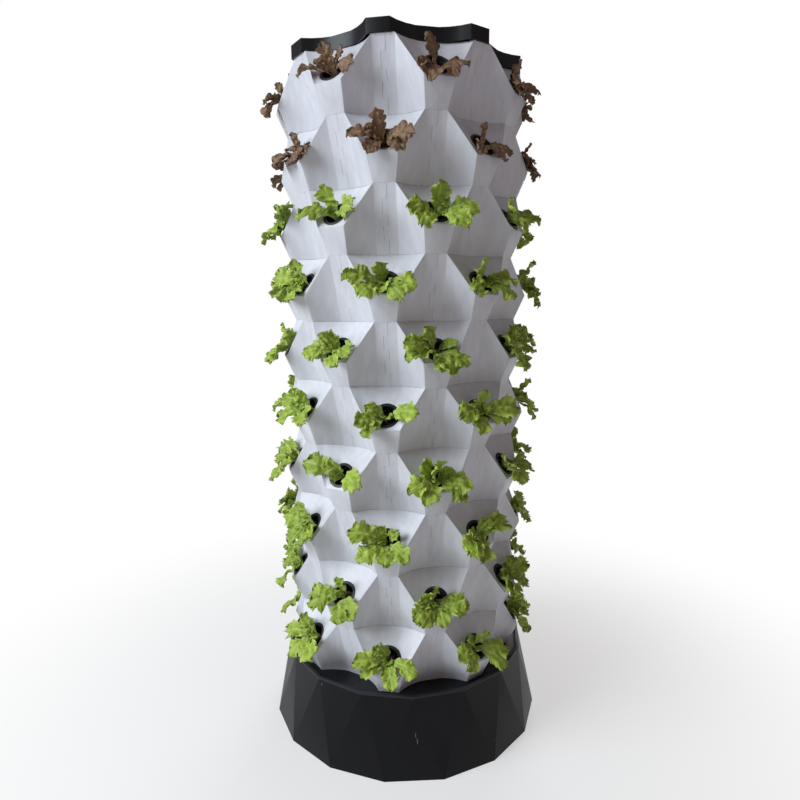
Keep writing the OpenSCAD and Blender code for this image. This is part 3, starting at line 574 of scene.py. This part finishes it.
def seam_path(settings, side):
    """(offset across the strip, height) along a segment's own edge of the jogged seam."""
    gap = -side * settings.seam_gap / 2
    path = []
    for (z0, way), (z1, _) in zip(SEAM_STEPS, SEAM_STEPS[1:]):
        offset = settings.jog_right if way > 0 else -settings.jog_left
        rise = settings.seam_gap / 2 * (-side if way > 0 else side)
        low = z0 if z0 == JOINT_LINE else z0 + rise
        high = z1 if z1 == TIER_H else z1 - rise
        path += [(offset + gap, low), (offset + gap, high)]
    return path


def segment_skin(settings):
    """Outer skin of one segment, open at its back."""
    bm = bmesh.new()
    steps = settings.arc_steps
    low_arc, mid_arc = joint_arc(steps), lip_arc(steps)
    for side in (-1, 1):
        seam = side * HALF_PITCH
        low = [around(seam, -side * u, v, JOINT_LINE) for u, v in low_arc]
        middle = [around(seam, -side * u, v, LIP_Z) for u, v in mid_arc]
        tip = around(seam, -side * JOINT_W / 2, JOINT_R, TIER_H)
        ribbon(bm, low, middle)
        fan(bm, middle, tip)
        edge = [around(seam, w, strip_v(z), z) for w, z in seam_path(settings, side)]
        plate(bm, edge + [tip, middle[0], low[0]])
    end_u = joint_corner()[0]
    crease = [(-u, v) for u, v in reversed(low_arc)] + low_arc
    lip_row = [Vector((LIP_W / 2 * u / end_u, -LIP_R, LIP_Z)) for u, v in crease]
    ribbon(bm, lip_row, [around(0, u, v, TIER_H) for u, v in crease])
    plate(bm, lip_row + [around(0, side * JOINT_W / 2, JOINT_R, JOINT_LINE) for side in (1, -1)])
    bmesh.ops.remove_doubles(bm, verts=bm.verts, dist=SKIN_WELD)
    bmesh.ops.recalc_face_normals(bm, faces=bm.faces)
    front = min(bm.faces, key=lambda f: f.calc_center_median().y)
    if front.normal.y > 0:
        bmesh.ops.reverse_faces(bm, faces=bm.faces)
    chamfer(bm, sharp_edges(bm, SEGMENT_RIDGE), settings.edge_round)
    return bm


def seat_ring(bm):
    """Collar under the seat that a net cup drops into."""
    start = len(bm.verts)
    ring = bmesh.new()
    lathe(ring, [(COLLAR_BORE, -COLLAR_DEPTH), (COLLAR_BORE, -COLLAR_EDGE / 2),
                 (COLLAR_BORE + COLLAR_EDGE, 0.0), (POT_HOLE_R, 0.0), (POT_HOLE_R, COLLAR_EDGE),
                 (COLLAR_R, COLLAR_EDGE), (COLLAR_R, -COLLAR_DEPTH)], ROUND_STEPS)
    bmesh.ops.recalc_face_normals(ring, faces=ring.faces)
    absorb(bm, ring)
    bm.verts.ensure_lookup_table()
    bmesh.ops.transform(bm, matrix=POT_SEAT, verts=bm.verts[start:])


def seam_flange(bm, side):
    """Flange behind a seam, with a tongue that rises into the tier above."""
    low_in = CREASE_R - WALL - FLANGE_DEPTH
    high_in = JOINT_R - WALL - FLANGE_DEPTH
    rows = [(CREASE_R - WALL / 2, 0.0), (low_in, 0.0), (high_in, TIER_H),
            (high_in, TIER_H + TONGUE_H), (JOINT_R - WALL - TONGUE_PLAY, TIER_H + TONGUE_H),
            (JOINT_R - WALL - FLANGE_PLAY, TIER_H), (JOINT_R - WALL / 2, TIER_H - FLANGE_BEVEL)]
    seam = side * HALF_PITCH
    near = -side * SEAM_ROOM
    far = near - side * FLANGE_T
    face = plate(bm, [around(seam, near, v, z) for v, z in rows])
    pushed = bmesh.ops.extrude_face_region(bm, geom=[face])["geom"]
    shift = around(seam, far, 0, 0) - around(seam, near, 0, 0)
    bmesh.ops.translate(bm, vec=shift, verts=only_verts(pushed))


def segment_mesh(settings):
    """One segment: thick skin with its pot hole, collar and flanges."""
    skin = finish_mesh(segment_skin(settings), "segment_skin")
    thicken(skin, "wall", WALL, -1.0).use_even_offset = True
    bm = bmesh.new()
    bmesh.ops.create_cone(bm, cap_ends=True, segments=ROUND_STEPS, radius1=POT_HOLE_R,
                          radius2=POT_HOLE_R, depth=HOLE_CUT_DEPTH, matrix=POT_SEAT)
    cutter = finish_mesh(bm, "pot_hole")
    cut = skin.modifiers.new("pot", "BOOLEAN")
    cut.object = cutter
    cut.operation = "DIFFERENCE"
    cut.solver = "EXACT"
    mesh = evaluated(skin)
    bpy.data.objects.remove(cutter, do_unlink=True)
    bm = bmesh.new()
    bm.from_mesh(mesh)
    seat_ring(bm)
    for side in (-1, 1):
        seam_flange(bm, side)
    bmesh.ops.recalc_face_normals(bm, faces=bm.faces)
    bm.to_mesh(mesh)
    bm.free()
    return mesh


class TOWER_OT_tiers(bpy.types.Operator):
    """Mould the ten tiers of interlocking one-pot segments"""
    bl_idname = "tower.tiers"
    bl_label = "Tiers"

    def execute(self, context):
        settings = context.scene.tower_body
        plastic = tower_plastic(tuple(settings.plastic))
        segment = segment_mesh(settings)
        for tier in range(TIERS):
            lift = Matrix.Translation((0, 0, TOWER_Z + tier * TIER_H))
            turns = [pot_turn(tier, pot) @ lift for pot in range(POTS)]
            obj = join_copies(segment, turns, f"tier_shell_{tier + 1:02d}", TIER_SMOOTH)
            node = f"tier_{tier + 1:02d}"
            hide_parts(node)
            place(obj, "base", plastic)
        return {"FINISHED"}


# Net cups

# Heights from a cup's rim in metres: its wall's top, and both ends of its two rows of slots
WALL_TOP = -0.0015
CUP_SLOTS = ((-0.009, -0.021), (-0.023, -0.036))

# Rounding where the wall meets the floor, radii of the floor's slots and hub, and the flat rim
FLOOR_RISE, FLOOR_ROUND = 0.0006, 0.0012
DRAIN_R = 0.0115
HUB_R = 0.007
RIM_T = 0.002
RIM_SKIRT = 0.0017


def is_opening(face, steps):
    """Whether a face of a cup that was turned in steps is one of its slots."""
    centre = face.calc_center_median()
    step = int((math.atan2(centre.y, centre.x) % math.tau) / math.tau * steps)
    radius = math.hypot(centre.x, centre.y)
    window = any(low < centre.z < high for high, low in CUP_SLOTS)
    drain = (centre.z < -CUP_DEPTH + FLOOR_RISE / 2
             and DRAIN_R < radius < CUP_FLOOR_D / 2 - FLOOR_ROUND)
    return step % 2 == 1 and (window or drain)


def net_cup_mesh(settings):
    """Slotted cup with a rounded flat rim, a ribbed wall and a drained floor."""
    bm = bmesh.new()
    steps = settings.ribs * 2
    top, floor = CUP_TOP_D / 2, CUP_FLOOR_D / 2
    heights = [WALL_TOP, *CUP_SLOTS[0], *CUP_SLOTS[1], -CUP_DEPTH + FLOOR_RISE]
    wall = [(mix(top, floor, -z / CUP_DEPTH), z) for z in heights]
    base = [(radius, -CUP_DEPTH) for radius in (floor - FLOOR_ROUND, DRAIN_R, HUB_R)]
    lathe(bm, wall + base, steps, closed=False)
    slots = [face for face in bm.faces if is_opening(face, steps)]
    bmesh.ops.delete(bm, geom=slots, context="FACES")
    bmesh.ops.recalc_face_normals(bm, faces=bm.faces)
    side = max(bm.faces, key=lambda f: f.calc_center_median().z)
    middle = side.calc_center_median()
    if side.normal.x * middle.x + side.normal.y * middle.y < 0:
        bmesh.ops.reverse_faces(bm, faces=bm.faces)
    body = finish_mesh(bm, "cup_body")
    thicken(body, "wall", CUP_WALL, -1.0)
    bm = bmesh.new()
    bm.from_mesh(evaluated(body))
    rim = bmesh.new()
    outer, inner = CUP_RIM_D / 2, top - CUP_WALL
    lathe(rim, [(inner, -RIM_SKIRT), (inner, 0.0014), (inner + 0.0006, RIM_T),
                (outer - 0.0014, RIM_T), (outer - 0.0003, 0.0015), (outer, 0.0006),
                (outer - 0.0004, 0.0), (top, 0.0), (top, -RIM_SKIRT)], ROUND_STEPS)
    bmesh.ops.recalc_face_normals(rim, faces=rim.faces)
    absorb(bm, rim)
    return new_mesh(bm, "net_cup")


class TOWER_OT_cups(bpy.types.Operator):
    """Mould the net cups and set them in their pots"""
    bl_idname = "tower.cups"
    bl_label = "Net cups"

    def execute(self, context):
        settings = context.scene.tower_cups
        plastic = plain_plastic("cup_plastic", tuple(settings.colour), 0.5)
        cup = net_cup_mesh(settings)
        for tier in range(TIERS):
            obj = join_copies(cup, [seat_matrix(tier, pot) for pot in fixed_pots(tier)],
                              f"cups_{tier + 1:02d}", CUP_SMOOTH)
            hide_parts(f"net_cups_{tier + 1:02d}")
            place(obj, "base", plastic)
        for tier, level in LIFT_TIERS.items():
            obj = join_copies(cup, [seat_matrix(tier, 0)], f"lift_cup_{level}", CUP_SMOOTH)
            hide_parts(f"front_cup_{level}")
            place(obj, f"cup_{level}", plastic)
        return {"FINISHED"}


# Seedlings

DOWN = Vector((0, 0, -1))
CROWN_R = 0.003
CROWN_RISE = 0.001
LEAF_T = 0.0006
LEAF_GRID = (10, 44)
MIDRIB_STEPS = 16

# Distance from the tower's axis in metres from which on a leaf is held back from LEAF_ROOM
LEAF_EASE = 0.304

# Stalk as a share of a leaf's length and of its rows of faces, and the blade's start after it
STALK = 0.33
STALK_ROWS = 0.15
BLADE_EASE = 0.2

# Half widths as shares of a leaf's: the stalk, the blade, and notches with lobes or teeth on it
STALK_WIDTH, STALK_FLARE = 0.20, 0.1
BLADE_WIDTH, BLADE_BULGE = 0.22, 0.88
LOBES, LOBE_NOTCH, LOBE_REACH = 3.4, 0.46, 0.54
TEETH, TOOTH_NOTCH, TOOTH_REACH, TOOTH_VARIATION = 8.6, 0.70, 0.28, 0.34

# Where along the blade it rounds off and along the leaf its tip begins, each with its length
ROUND_FROM, ROUND_SPAN = 0.7, 0.3
TIP_FROM, TIP_SPAN = 0.82, 0.18

# Heights in metres of a blade's crinkles and of the ridge on its stalk
CRINKLE = 0.006
STALK_RIDGE = 0.0011

# How far a tip and a lobe reach forwards, as shares of a leaf's width
TIP_REACH, TIP_CRINKLE = 0.16, 0.10
LOBE_SWEEP = 0.14

# Ranges in which leaves vary: widths, sags, curl, twist in radians and slimness as a share, and
# the turns of a plant and of each of its leaves in degrees
WIDTHS = (0.9, 1.15)
SAGS = (0.15, 0.5)
CURL = 0.35
TWIST = 0.35
SLIMMEST = 0.12
PLANT_TURN = 14
LEAF_TURN = 20

# Waves along a leaf's edge, and how a red leaf differs from a green one; its bend is in radians
GREEN_WAVES = (9, 10, 11)
RED_WAVES = (5, 6, 7)
RED_WIDTH = 0.86
RED_RUFFLE = 0.75
RED_BEND = 0.12
RED_SIZE = 0.88
RED_FEWER = 0.1

# Azimuth in degrees, where 270 faces outwards, lean in radians, range of bends in degrees,
# range of sizes and chance of each leaf
LEAF_ROWS = (
    (194, 0.35, (76, 100), (0.85, 1.05), 1.0), (-14, 0.35, (76, 100), (0.85, 1.05), 0.9),
    (232, 0.32, (84, 108), (0.80, 1.0), 0.8), (308, 0.32, (84, 108), (0.80, 1.0), 0.75),
    (270, 0.30, (70, 104), (0.6, 0.85), 0.5), (110, 0.10, (20, 44), (0.62, 0.85), 0.8),
    (156, 0.20, (44, 70), (0.55, 0.75), 0.55), (24, 0.20, (44, 70), (0.5, 0.7), 0.4),
    (210, 0.06, (20, 46), (0.34, 0.45), 0.9), (330, 0.06, (20, 46), (0.34, 0.45), 0.6))


def within(value):
    """A coordinate eased so that it stays inside LEAF_ROOM."""
    if abs(value) <= LEAF_EASE:
        return value
    span = LEAF_ROOM - LEAF_EASE
    return math.copysign(LEAF_EASE + span * math.tanh((abs(value) - LEAF_EASE) / span), value)


def midrib(crown, out, axis, length, lean, bend, sag):
    """Points and directions along a leaf that leaves the crown near axis and bends outwards."""
    points, ways = [crown.copy()], []
    for i in range(MIDRIB_STEPS):
        t = (i + 0.5) / MIDRIB_STEPS
        angle = lean + (bend - lean) * t ** 1.2
        way = axis * math.cos(angle) + out * math.sin(angle) + DOWN * sag * t ** 1.5
        way.normalize()
        ways.append(way)
        points.append(points[-1] + way * length / MIDRIB_STEPS)
    ways.append(ways[-1])
    return points, ways


def blade_width(t, red, start, side):
    """Half width of a leaf at t from stalk to tip, as a share: round lobes or sharp teeth."""
    if t < STALK:
        return STALK_WIDTH + STALK_FLARE * t
    s = (t - STALK) / (1 - STALK)
    body = math.sin(math.pi * (0.05 + 0.55 * s)) ** 0.8
    if s > ROUND_FROM:
        body *= math.sqrt(1 - 0.9 * ((s - ROUND_FROM) / ROUND_SPAN) ** 2)
    if red:
        lobe = abs(math.sin(math.pi * (LOBES * s + start + 0.15 * side))) ** 0.6
        outline = LOBE_NOTCH + LOBE_REACH * lobe
    else:
        tooth = (TEETH * s + start + 0.4 * side) % 1.0
        uneven = noise.noise(Vector((s * 7.0, start * 50.0, side * 7.0)))
        outline = TOOTH_NOTCH + TOOTH_REACH * tooth + TOOTH_VARIATION * uneven
    return BLADE_WIDTH + BLADE_BULGE * body * outline


def grow_leaf(bm, layers, rng, settings, seat, azimuth, lean, bend, size, red):
    """One ruffled leaf whose midrib starts in the cup."""
    axis = (seat.to_3x3() @ Vector((0, 0, 1))).normalized()
    out = (seat.to_3x3() @ Vector((math.cos(azimuth), math.sin(azimuth), 0))).normalized()
    crown = seat @ Vector((CROWN_R * math.cos(azimuth), CROWN_R * math.sin(azimuth),
                           PLUG_TOP + CROWN_RISE))
    width = settings.leaf_width * size * rng.uniform(*WIDTHS) * (RED_WIDTH if red else 1.0)
    points, ways = midrib(crown, out, axis, settings.leaf_length * size, lean, bend,
                          rng.uniform(*SAGS))
    start = len(bm.verts)
    bmesh.ops.create_grid(bm, x_segments=LEAF_GRID[0], y_segments=LEAF_GRID[1], size=0.5)
    bm.verts.ensure_lookup_table()
    phase = rng.uniform(0, 6.28)
    waves = rng.choice(RED_WAVES if red else GREEN_WAVES)
    lobes = rng.random()
    curl = rng.uniform(-CURL, CURL)
    twist = rng.uniform(-TWIST, TWIST)
    ruffle = settings.ruffle * size * (RED_RUFFLE if red else 1.0)
    slim = rng.uniform(0.0, SLIMMEST)
    tint = rng.random()
    across_layer, along_layer, tint_layer = layers
    for vert in bm.verts[start:]:
        q = clamp(vert.co.y + 0.5)
        s = clamp(vert.co.x * 2, -1.0)
        t = (STALK * q / STALK_ROWS if q < STALK_ROWS
             else mix(STALK, 1.0, (q - STALK_ROWS) / (1 - STALK_ROWS)))
        row = t * MIDRIB_STEPS
        i = min(MIDRIB_STEPS - 1, int(row))
        spot = points[i].lerp(points[i + 1], row - i)
        way = ways[i].lerp(ways[i + 1], row - i).normalized()
        span = (Matrix.Rotation(twist * t, 3, way) @ axis.cross(out)).normalized()
        lift = span.cross(way).normalized()
        share = blade_width(t, red, lobes, 1 if s > 0 else -1) - slim
        half = width / 2 * share
        free = clamp((t - STALK) / BLADE_EASE)
        tip = max(0.0, t - TIP_FROM) / TIP_SPAN
        edge = max(abs(s), tip ** 1.5)
        turn = math.atan2(s, 1.6 * (t - 0.62))
        crinkle = noise.noise(Vector((s * 4.0, t * 9.0, tint * 90.0)))
        height = ruffle * free * edge ** 2.2 * math.sin(waves * turn + phase)
        height += CRINKLE * crinkle * free + curl * half * abs(s) ** 2 * free
        height += STALK_RIDGE * (1 - abs(s)) * (1 - free)
        reach = width * tip * (TIP_REACH * (1 - s * s) + TIP_CRINKLE * crinkle)
        reach += width * LOBE_SWEEP * (share - 0.5) * free * abs(s) ** 3
        vert.co = spot + span * half * s + lift * height + way * reach
        vert.co.x, vert.co.y = within(vert.co.x), within(vert.co.y)
        vert[across_layer] = s
        vert[along_layer] = t
        vert[tint_layer] = tint


def leaf_plan(rng, red):
    """(azimuth, lean, bend, size) of each leaf of a seedling, angles in radians."""
    turn = rng.uniform(-PLANT_TURN, PLANT_TURN)
    plan = []
    for azimuth, lean, bends, sizes, chance in LEAF_ROWS:
        azimuth += turn + rng.uniform(-LEAF_TURN, LEAF_TURN)
        bend, size = math.radians(rng.uniform(*bends)), rng.uniform(*sizes)
        if red:
            bend, size = bend + RED_BEND, size * RED_SIZE
        if rng.random() < (chance - RED_FEWER if red else chance):
            plan.append((math.radians(azimuth), lean, bend, size))
    return plan


def plants_object(settings, spots, name):
    """Seedlings at (tier, pot) spots as one object."""
    bm = bmesh.new()
    layers = [bm.verts.layers.float.new(n) for n in ("across", "along", "tint")]
    for tier, pot in spots:
        rng = random.Random(settings.seed * 1000 + tier * POTS + pot)
        red = is_red(tier)
        seat = seat_matrix(tier, pot)
        for azimuth, lean, bend, size in leaf_plan(rng, red):
            grow_leaf(bm, layers, rng, settings, seat, azimuth, lean, bend, size, red)
    obj = finish_mesh(bm, name, ALL_SMOOTH)
    thicken(obj, "leaf_thickness", LEAF_T, 0.0)
    return obj


class TOWER_OT_plants(bpy.types.Operator):
    """Grow a ruffled lettuce seedling in every cup"""
    bl_idname = "tower.plants"
    bl_label = "Seedlings"

    def execute(self, context):
        settings = context.scene.tower_plants
        green = leaf_skin("green_leaf", tuple(settings.green), tuple(settings.green_edge),
                          tuple(settings.green_rib))
        red = leaf_skin("red_leaf", tuple(settings.red), tuple(settings.red_edge),
                        tuple(settings.red_rib))
        for tier in range(TIERS):
            skin, slot = (red, "leaf_red") if is_red(tier) else (green, "leaf_green")
            obj = plants_object(settings, [(tier, pot) for pot in fixed_pots(tier)],
                                f"plants_{tier + 1:02d}")
            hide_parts(f"seedlings_{tier + 1:02d}")
            place(obj, "base", skin)
            if tier in LIFT_TIERS:
                level = LIFT_TIERS[tier]
                obj = plants_object(settings, [(tier, 0)], f"lift_plant_{level}")
                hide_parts(f"front_seedling_{level}")
                place(obj, f"cup_{level}", skin)
        return {"FINISHED"}


# Tank, top cover and fittings

class TOWER_OT_tank(bpy.types.Operator):
    """Round the tank's edges and finish its cover plate"""
    bl_idname = "tower.tank"
    bl_label = "Tank"

    def execute(self, context):
        settings = context.scene.tower_body
        gloss = tank_plastic(tuple(settings.black))
        tank = softened_copy("tank_shell", "tank", width=0.0012, ridge=TANK_RIDGE)
        place(tank, "base", gloss)
        plate_skin = textured_plastic("cover_plate", tuple(settings.plate), roughness=0.5,
                                      grain_scale=420.0, depth=0.0004)
        cover = softened_copy("tank_cover", "cover_plate", width=0.0006)
        place(cover, "base", plate_skin)
        return {"FINISHED"}


class TOWER_OT_top(bpy.types.Operator):
    """Round the top cover's edges"""
    bl_idname = "tower.top"
    bl_label = "Top cover"

    def execute(self, context):
        settings = context.scene.tower_body
        satin = textured_plastic("cover_satin", tuple(settings.black), roughness=0.38,
                                 grain_scale=700.0, depth=0.00012)
        cover = softened_copy("top_cover", "lift_off_cover", width=0.0012, ridge=TOP_RIDGE,
                              smooth_below=TOP_SMOOTH)
        place(cover, "cover", satin)
        return {"FINISHED"}


class TOWER_OT_fittings(bpy.types.Operator):
    """Finish the pump, riser, tray, tap, gland and growing plugs"""
    bl_idname = "tower.fittings"
    bl_label = "Fittings"

    def execute(self, context):
        pump = plain_plastic("pump_shell", (0.02, 0.026, 0.045), 0.42)
        rubber = textured_plastic("rubber", (0.015, 0.015, 0.015), roughness=0.75,
                                  grain_scale=500.0, depth=0.0002)
        black = plain_plastic("tap_plastic", (0.014, 0.014, 0.015), 0.38)
        pipe = plain_plastic("pipe_plastic", (0.72, 0.72, 0.70), 0.4)
        grey = plain_plastic("coupling_plastic", (0.22, 0.23, 0.25), 0.4)
        tray = plain_plastic("tray_plastic", (0.74, 0.74, 0.74), 0.42)
        ivory = plain_plastic("impeller_plastic", (0.68, 0.64, 0.52), 0.4)
        lever = plain_plastic("lever_plastic", (0.42, 0.03, 0.02), 0.35)
        sponge = foam((0.055, 0.04, 0.026))
        # Each node's piece: its name, edge width, material, record slot and body
        rounded = {
            "pump_housing": ("pump_body", 0.0009, pump, "pump_plastic", "base"),
            "pump_impeller": ("impeller", 0.0003, ivory, "impeller_plastic", "impeller"),
            "distributor_tray": ("tray", 0.0005, tray, "tray_white", "base"),
            "drain_tap_body": ("tap_body", 0.0006, black, "black_plastic", "base"),
            "drain_tap_lever": ("tap_handle", 0.0007, lever, "lever_red", "tap_lever"),
            "drain_tap_nut": ("tap_nut", 0.0006, black, "black_plastic", "base"),
            "riser_coupling": ("coupling", 0.0006, grey, "pipe_grey", "base"),
        }
        for node, (name, width, skin, slot, body) in rounded.items():
            place(softened_copy(node, name, width), body, skin)
        # Nodes that keep their CAD shape and only get a material
        plain = {
            "pump_intake_grille": pump, "pump_feet": rubber, "cable_gland": rubber,
            "drain_tap_washer": rubber, "riser_lower": pipe, "riser_upper": pipe,
            "growing_plugs": sponge, "front_plug_low": sponge, "front_plug_high": sponge,
        }
        for node, skin in plain.items():
            for material_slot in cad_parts[node].material_slots:
                material_slot.material = skin
        return {"FINISHED"}


# Studio

# Place, target, size, colour and spread in degrees of each lamp
LAMPS = {
    "key": ((-3.0, -2.25, 2.6), (0, 0, 0.45), (2.6, 2.6), (0.85, 0.94, 1.0), 90.0),
    "fill": ((3.4, -2.2, 1.6), (0, 0, 0.8), (2.0, 2.4), (1.0, 0.87, 0.85), 180.0),
    "back": ((0.5, 3.8, 2.4), (0, 0, 0.7), (2.4, 2.4), (1.0, 0.96, 0.94), 100.0),
}
WHITE = (1, 1, 1)
ROOM_TINT = (1.0, 0.87, 0.89)

# Floor, and the distances in metres over which it fades to white round the tower
FLOOR_SIZE = 12.0
FLOOR_Z = -0.0005
FADE_FROM, FADE_SPAN = 0.35, 1.1
FADE_LEAST = 0.5

# Camera that matches the photograph, in radians, metres, pixels and millimetres
VIEW_TURN = math.radians(8.01)
VIEW_YAW, VIEW_PITCH, VIEW_ROLL = -0.0065, -0.15291, -0.00623
VIEW_DISTANCE = 1.514
VIEW_HEIGHT = 1.0104
FOCAL_PIXELS = 620.0
PICTURE_PIXELS = 800.0
SENSOR = 36.0


def area_lamp(name, power, place_at, target, size, colour, spread):
    """Rectangular lamp that looks at target."""
    lamp = bpy.data.lights.new(name, "AREA")
    lamp.shape = "RECTANGLE"
    lamp.size, lamp.size_y = size
    lamp.energy = power
    lamp.color = colour
    lamp.spread = math.radians(spread)
    obj = bpy.data.objects.new(name, lamp)
    bpy.context.scene.collection.objects.link(obj)
    obj.location = place_at
    obj.rotation_euler = (Vector(target) - Vector(place_at)).to_track_quat("-Z", "Y").to_euler()


class TOWER_OT_stage(bpy.types.Operator):
    """Lay the floor, hang the lamps and set the camera"""
    bl_idname = "tower.stage"
    bl_label = "Studio"

    def execute(self, context):
        settings = context.scene.tower_studio
        self.floor(settings)
        self.room(settings)
        for name, lamp in LAMPS.items():
            area_lamp(name, getattr(settings, f"{name}_power"), *lamp)
        self.camera()
        context.scene.view_settings.view_transform = "Standard"
        return {"FINISHED"}

    def floor(self, settings):
        """Floor that fades to white away from the tower, in the view and in reflections."""
        bm = bmesh.new()
        bmesh.ops.create_grid(bm, x_segments=2, y_segments=2, size=FLOOR_SIZE,
                              matrix=Matrix.Translation((0, 0, FLOOR_Z)))
        obj = finish_mesh(bm, "floor")
        finish = Finish("studio_floor", tuple(settings.floor), 0.9)
        distance = finish.node("ShaderNodeVectorMath", {"operation": "LENGTH"},
                               finish.position(), output="Value")
        seen = (finish.node("ShaderNodeLightPath", output="Is Camera Ray")
                + finish.node("ShaderNodeLightPath", output="Is Glossy Ray"))
        fade = seen * (FADE_LEAST + distance.above(FADE_FROM, FADE_SPAN) * (1 - FADE_LEAST))
        surface = finish.node("ShaderNodeMixShader", None, fade,
                              Wire(finish, finish.shader.outputs["BSDF"]),
                              finish.node("ShaderNodeEmission", Color=WHITE))
        finish.feed(finish.tree.nodes["Material Output"].inputs["Surface"], surface)
        obj.data.materials.append(finish.material)

    def room(self, settings):
        """Even light all round, in front of which the camera sees white."""
        world = bpy.data.worlds.new("room")
        world.use_nodes = True
        tree = world.node_tree
        tree.nodes.clear()
        paths = tree.nodes.new("ShaderNodeLightPath")
        mixer = tree.nodes.new("ShaderNodeMixShader")
        output = tree.nodes.new("ShaderNodeOutputWorld")
        tree.links.new(paths.outputs["Is Camera Ray"], mixer.inputs[0])
        for slot, colour, strength in ((1, ROOM_TINT, settings.room), (2, WHITE, 1.0)):
            shader = tree.nodes.new("ShaderNodeBackground")
            shader.inputs["Color"].default_value = (*colour, 1)
            shader.inputs["Strength"].default_value = strength
            tree.links.new(shader.outputs[0], mixer.inputs[slot])
        tree.links.new(mixer.outputs[0], output.inputs["Surface"])
        bpy.context.scene.world = world

    def camera(self):
        """Camera in front of the tower, turned about its axis and rolled."""
        place_at = Vector((VIEW_DISTANCE * math.sin(VIEW_TURN),
                           -VIEW_DISTANCE * math.cos(VIEW_TURN), VIEW_HEIGHT))
        ahead = Vector((math.sin(VIEW_YAW) * math.cos(VIEW_PITCH),
                        math.cos(VIEW_YAW) * math.cos(VIEW_PITCH), math.sin(VIEW_PITCH)))
        ahead = Matrix.Rotation(VIEW_TURN, 3, "Z") @ ahead
        right = ahead.cross(Vector((0, 0, 1))).normalized()
        up = right.cross(ahead).normalized()
        right, up = (right * math.cos(VIEW_ROLL) + up * math.sin(VIEW_ROLL),
                     up * math.cos(VIEW_ROLL) - right * math.sin(VIEW_ROLL))
        camera = bpy.data.cameras.new("view")
        camera.sensor_width = SENSOR
        camera.lens = SENSOR * FOCAL_PIXELS / PICTURE_PIXELS
        obj = bpy.data.objects.new("view", camera)
        bpy.context.scene.collection.objects.link(obj)
        obj.matrix_world = Matrix.Translation(place_at) @ Matrix(
            (right, up, -ahead)).transposed().to_4x4()
        bpy.context.scene.camera = obj


class TOWER_PT_panel(bpy.types.Panel):
    """Sizes, colours and steps of the tower"""
    bl_idname = "TOWER_PT_panel"
    bl_label = "Hydroponic Tower"
    bl_space_type = "VIEW_3D"
    bl_region_type = "UI"
    bl_category = "Tower"

    def draw(self, context):
        scene = context.scene
        for group in (scene.tower_body, scene.tower_cups, scene.tower_plants, scene.tower_studio):
            box = self.layout.box()
            for name in group.bl_rna.properties.keys():
                if name not in ("rna_type", "name"):
                    box.prop(group, name)
        for step in STEPS:
            self.layout.operator(step.bl_idname)


STEPS = (TOWER_OT_stage, TOWER_OT_tiers, TOWER_OT_cups, TOWER_OT_plants, TOWER_OT_tank,
         TOWER_OT_top, TOWER_OT_fittings)
GROUPS = {"tower_body": TowerSettings, "tower_cups": CupSettings,
          "tower_plants": PlantSettings, "tower_studio": StudioSettings}
CLASSES = (*GROUPS.values(), *STEPS, TOWER_PT_panel)


def register():
    for cls in CLASSES:
        bpy.utils.register_class(cls)
    for name, group in GROUPS.items():
        setattr(bpy.types.Scene, name, PointerProperty(type=group))


def unregister():
    for name in GROUPS:
        delattr(bpy.types.Scene, name)
    for cls in reversed(CLASSES):
        bpy.utils.unregister_class(cls)


def main():
    register()
    bpy.ops.tower.stage()
    bpy.ops.tower.tiers()
    bpy.ops.tower.cups()
    bpy.ops.tower.plants()
    bpy.ops.tower.tank()
    bpy.ops.tower.top()
    bpy.ops.tower.fittings()


if __name__ == "__main__":
    main()
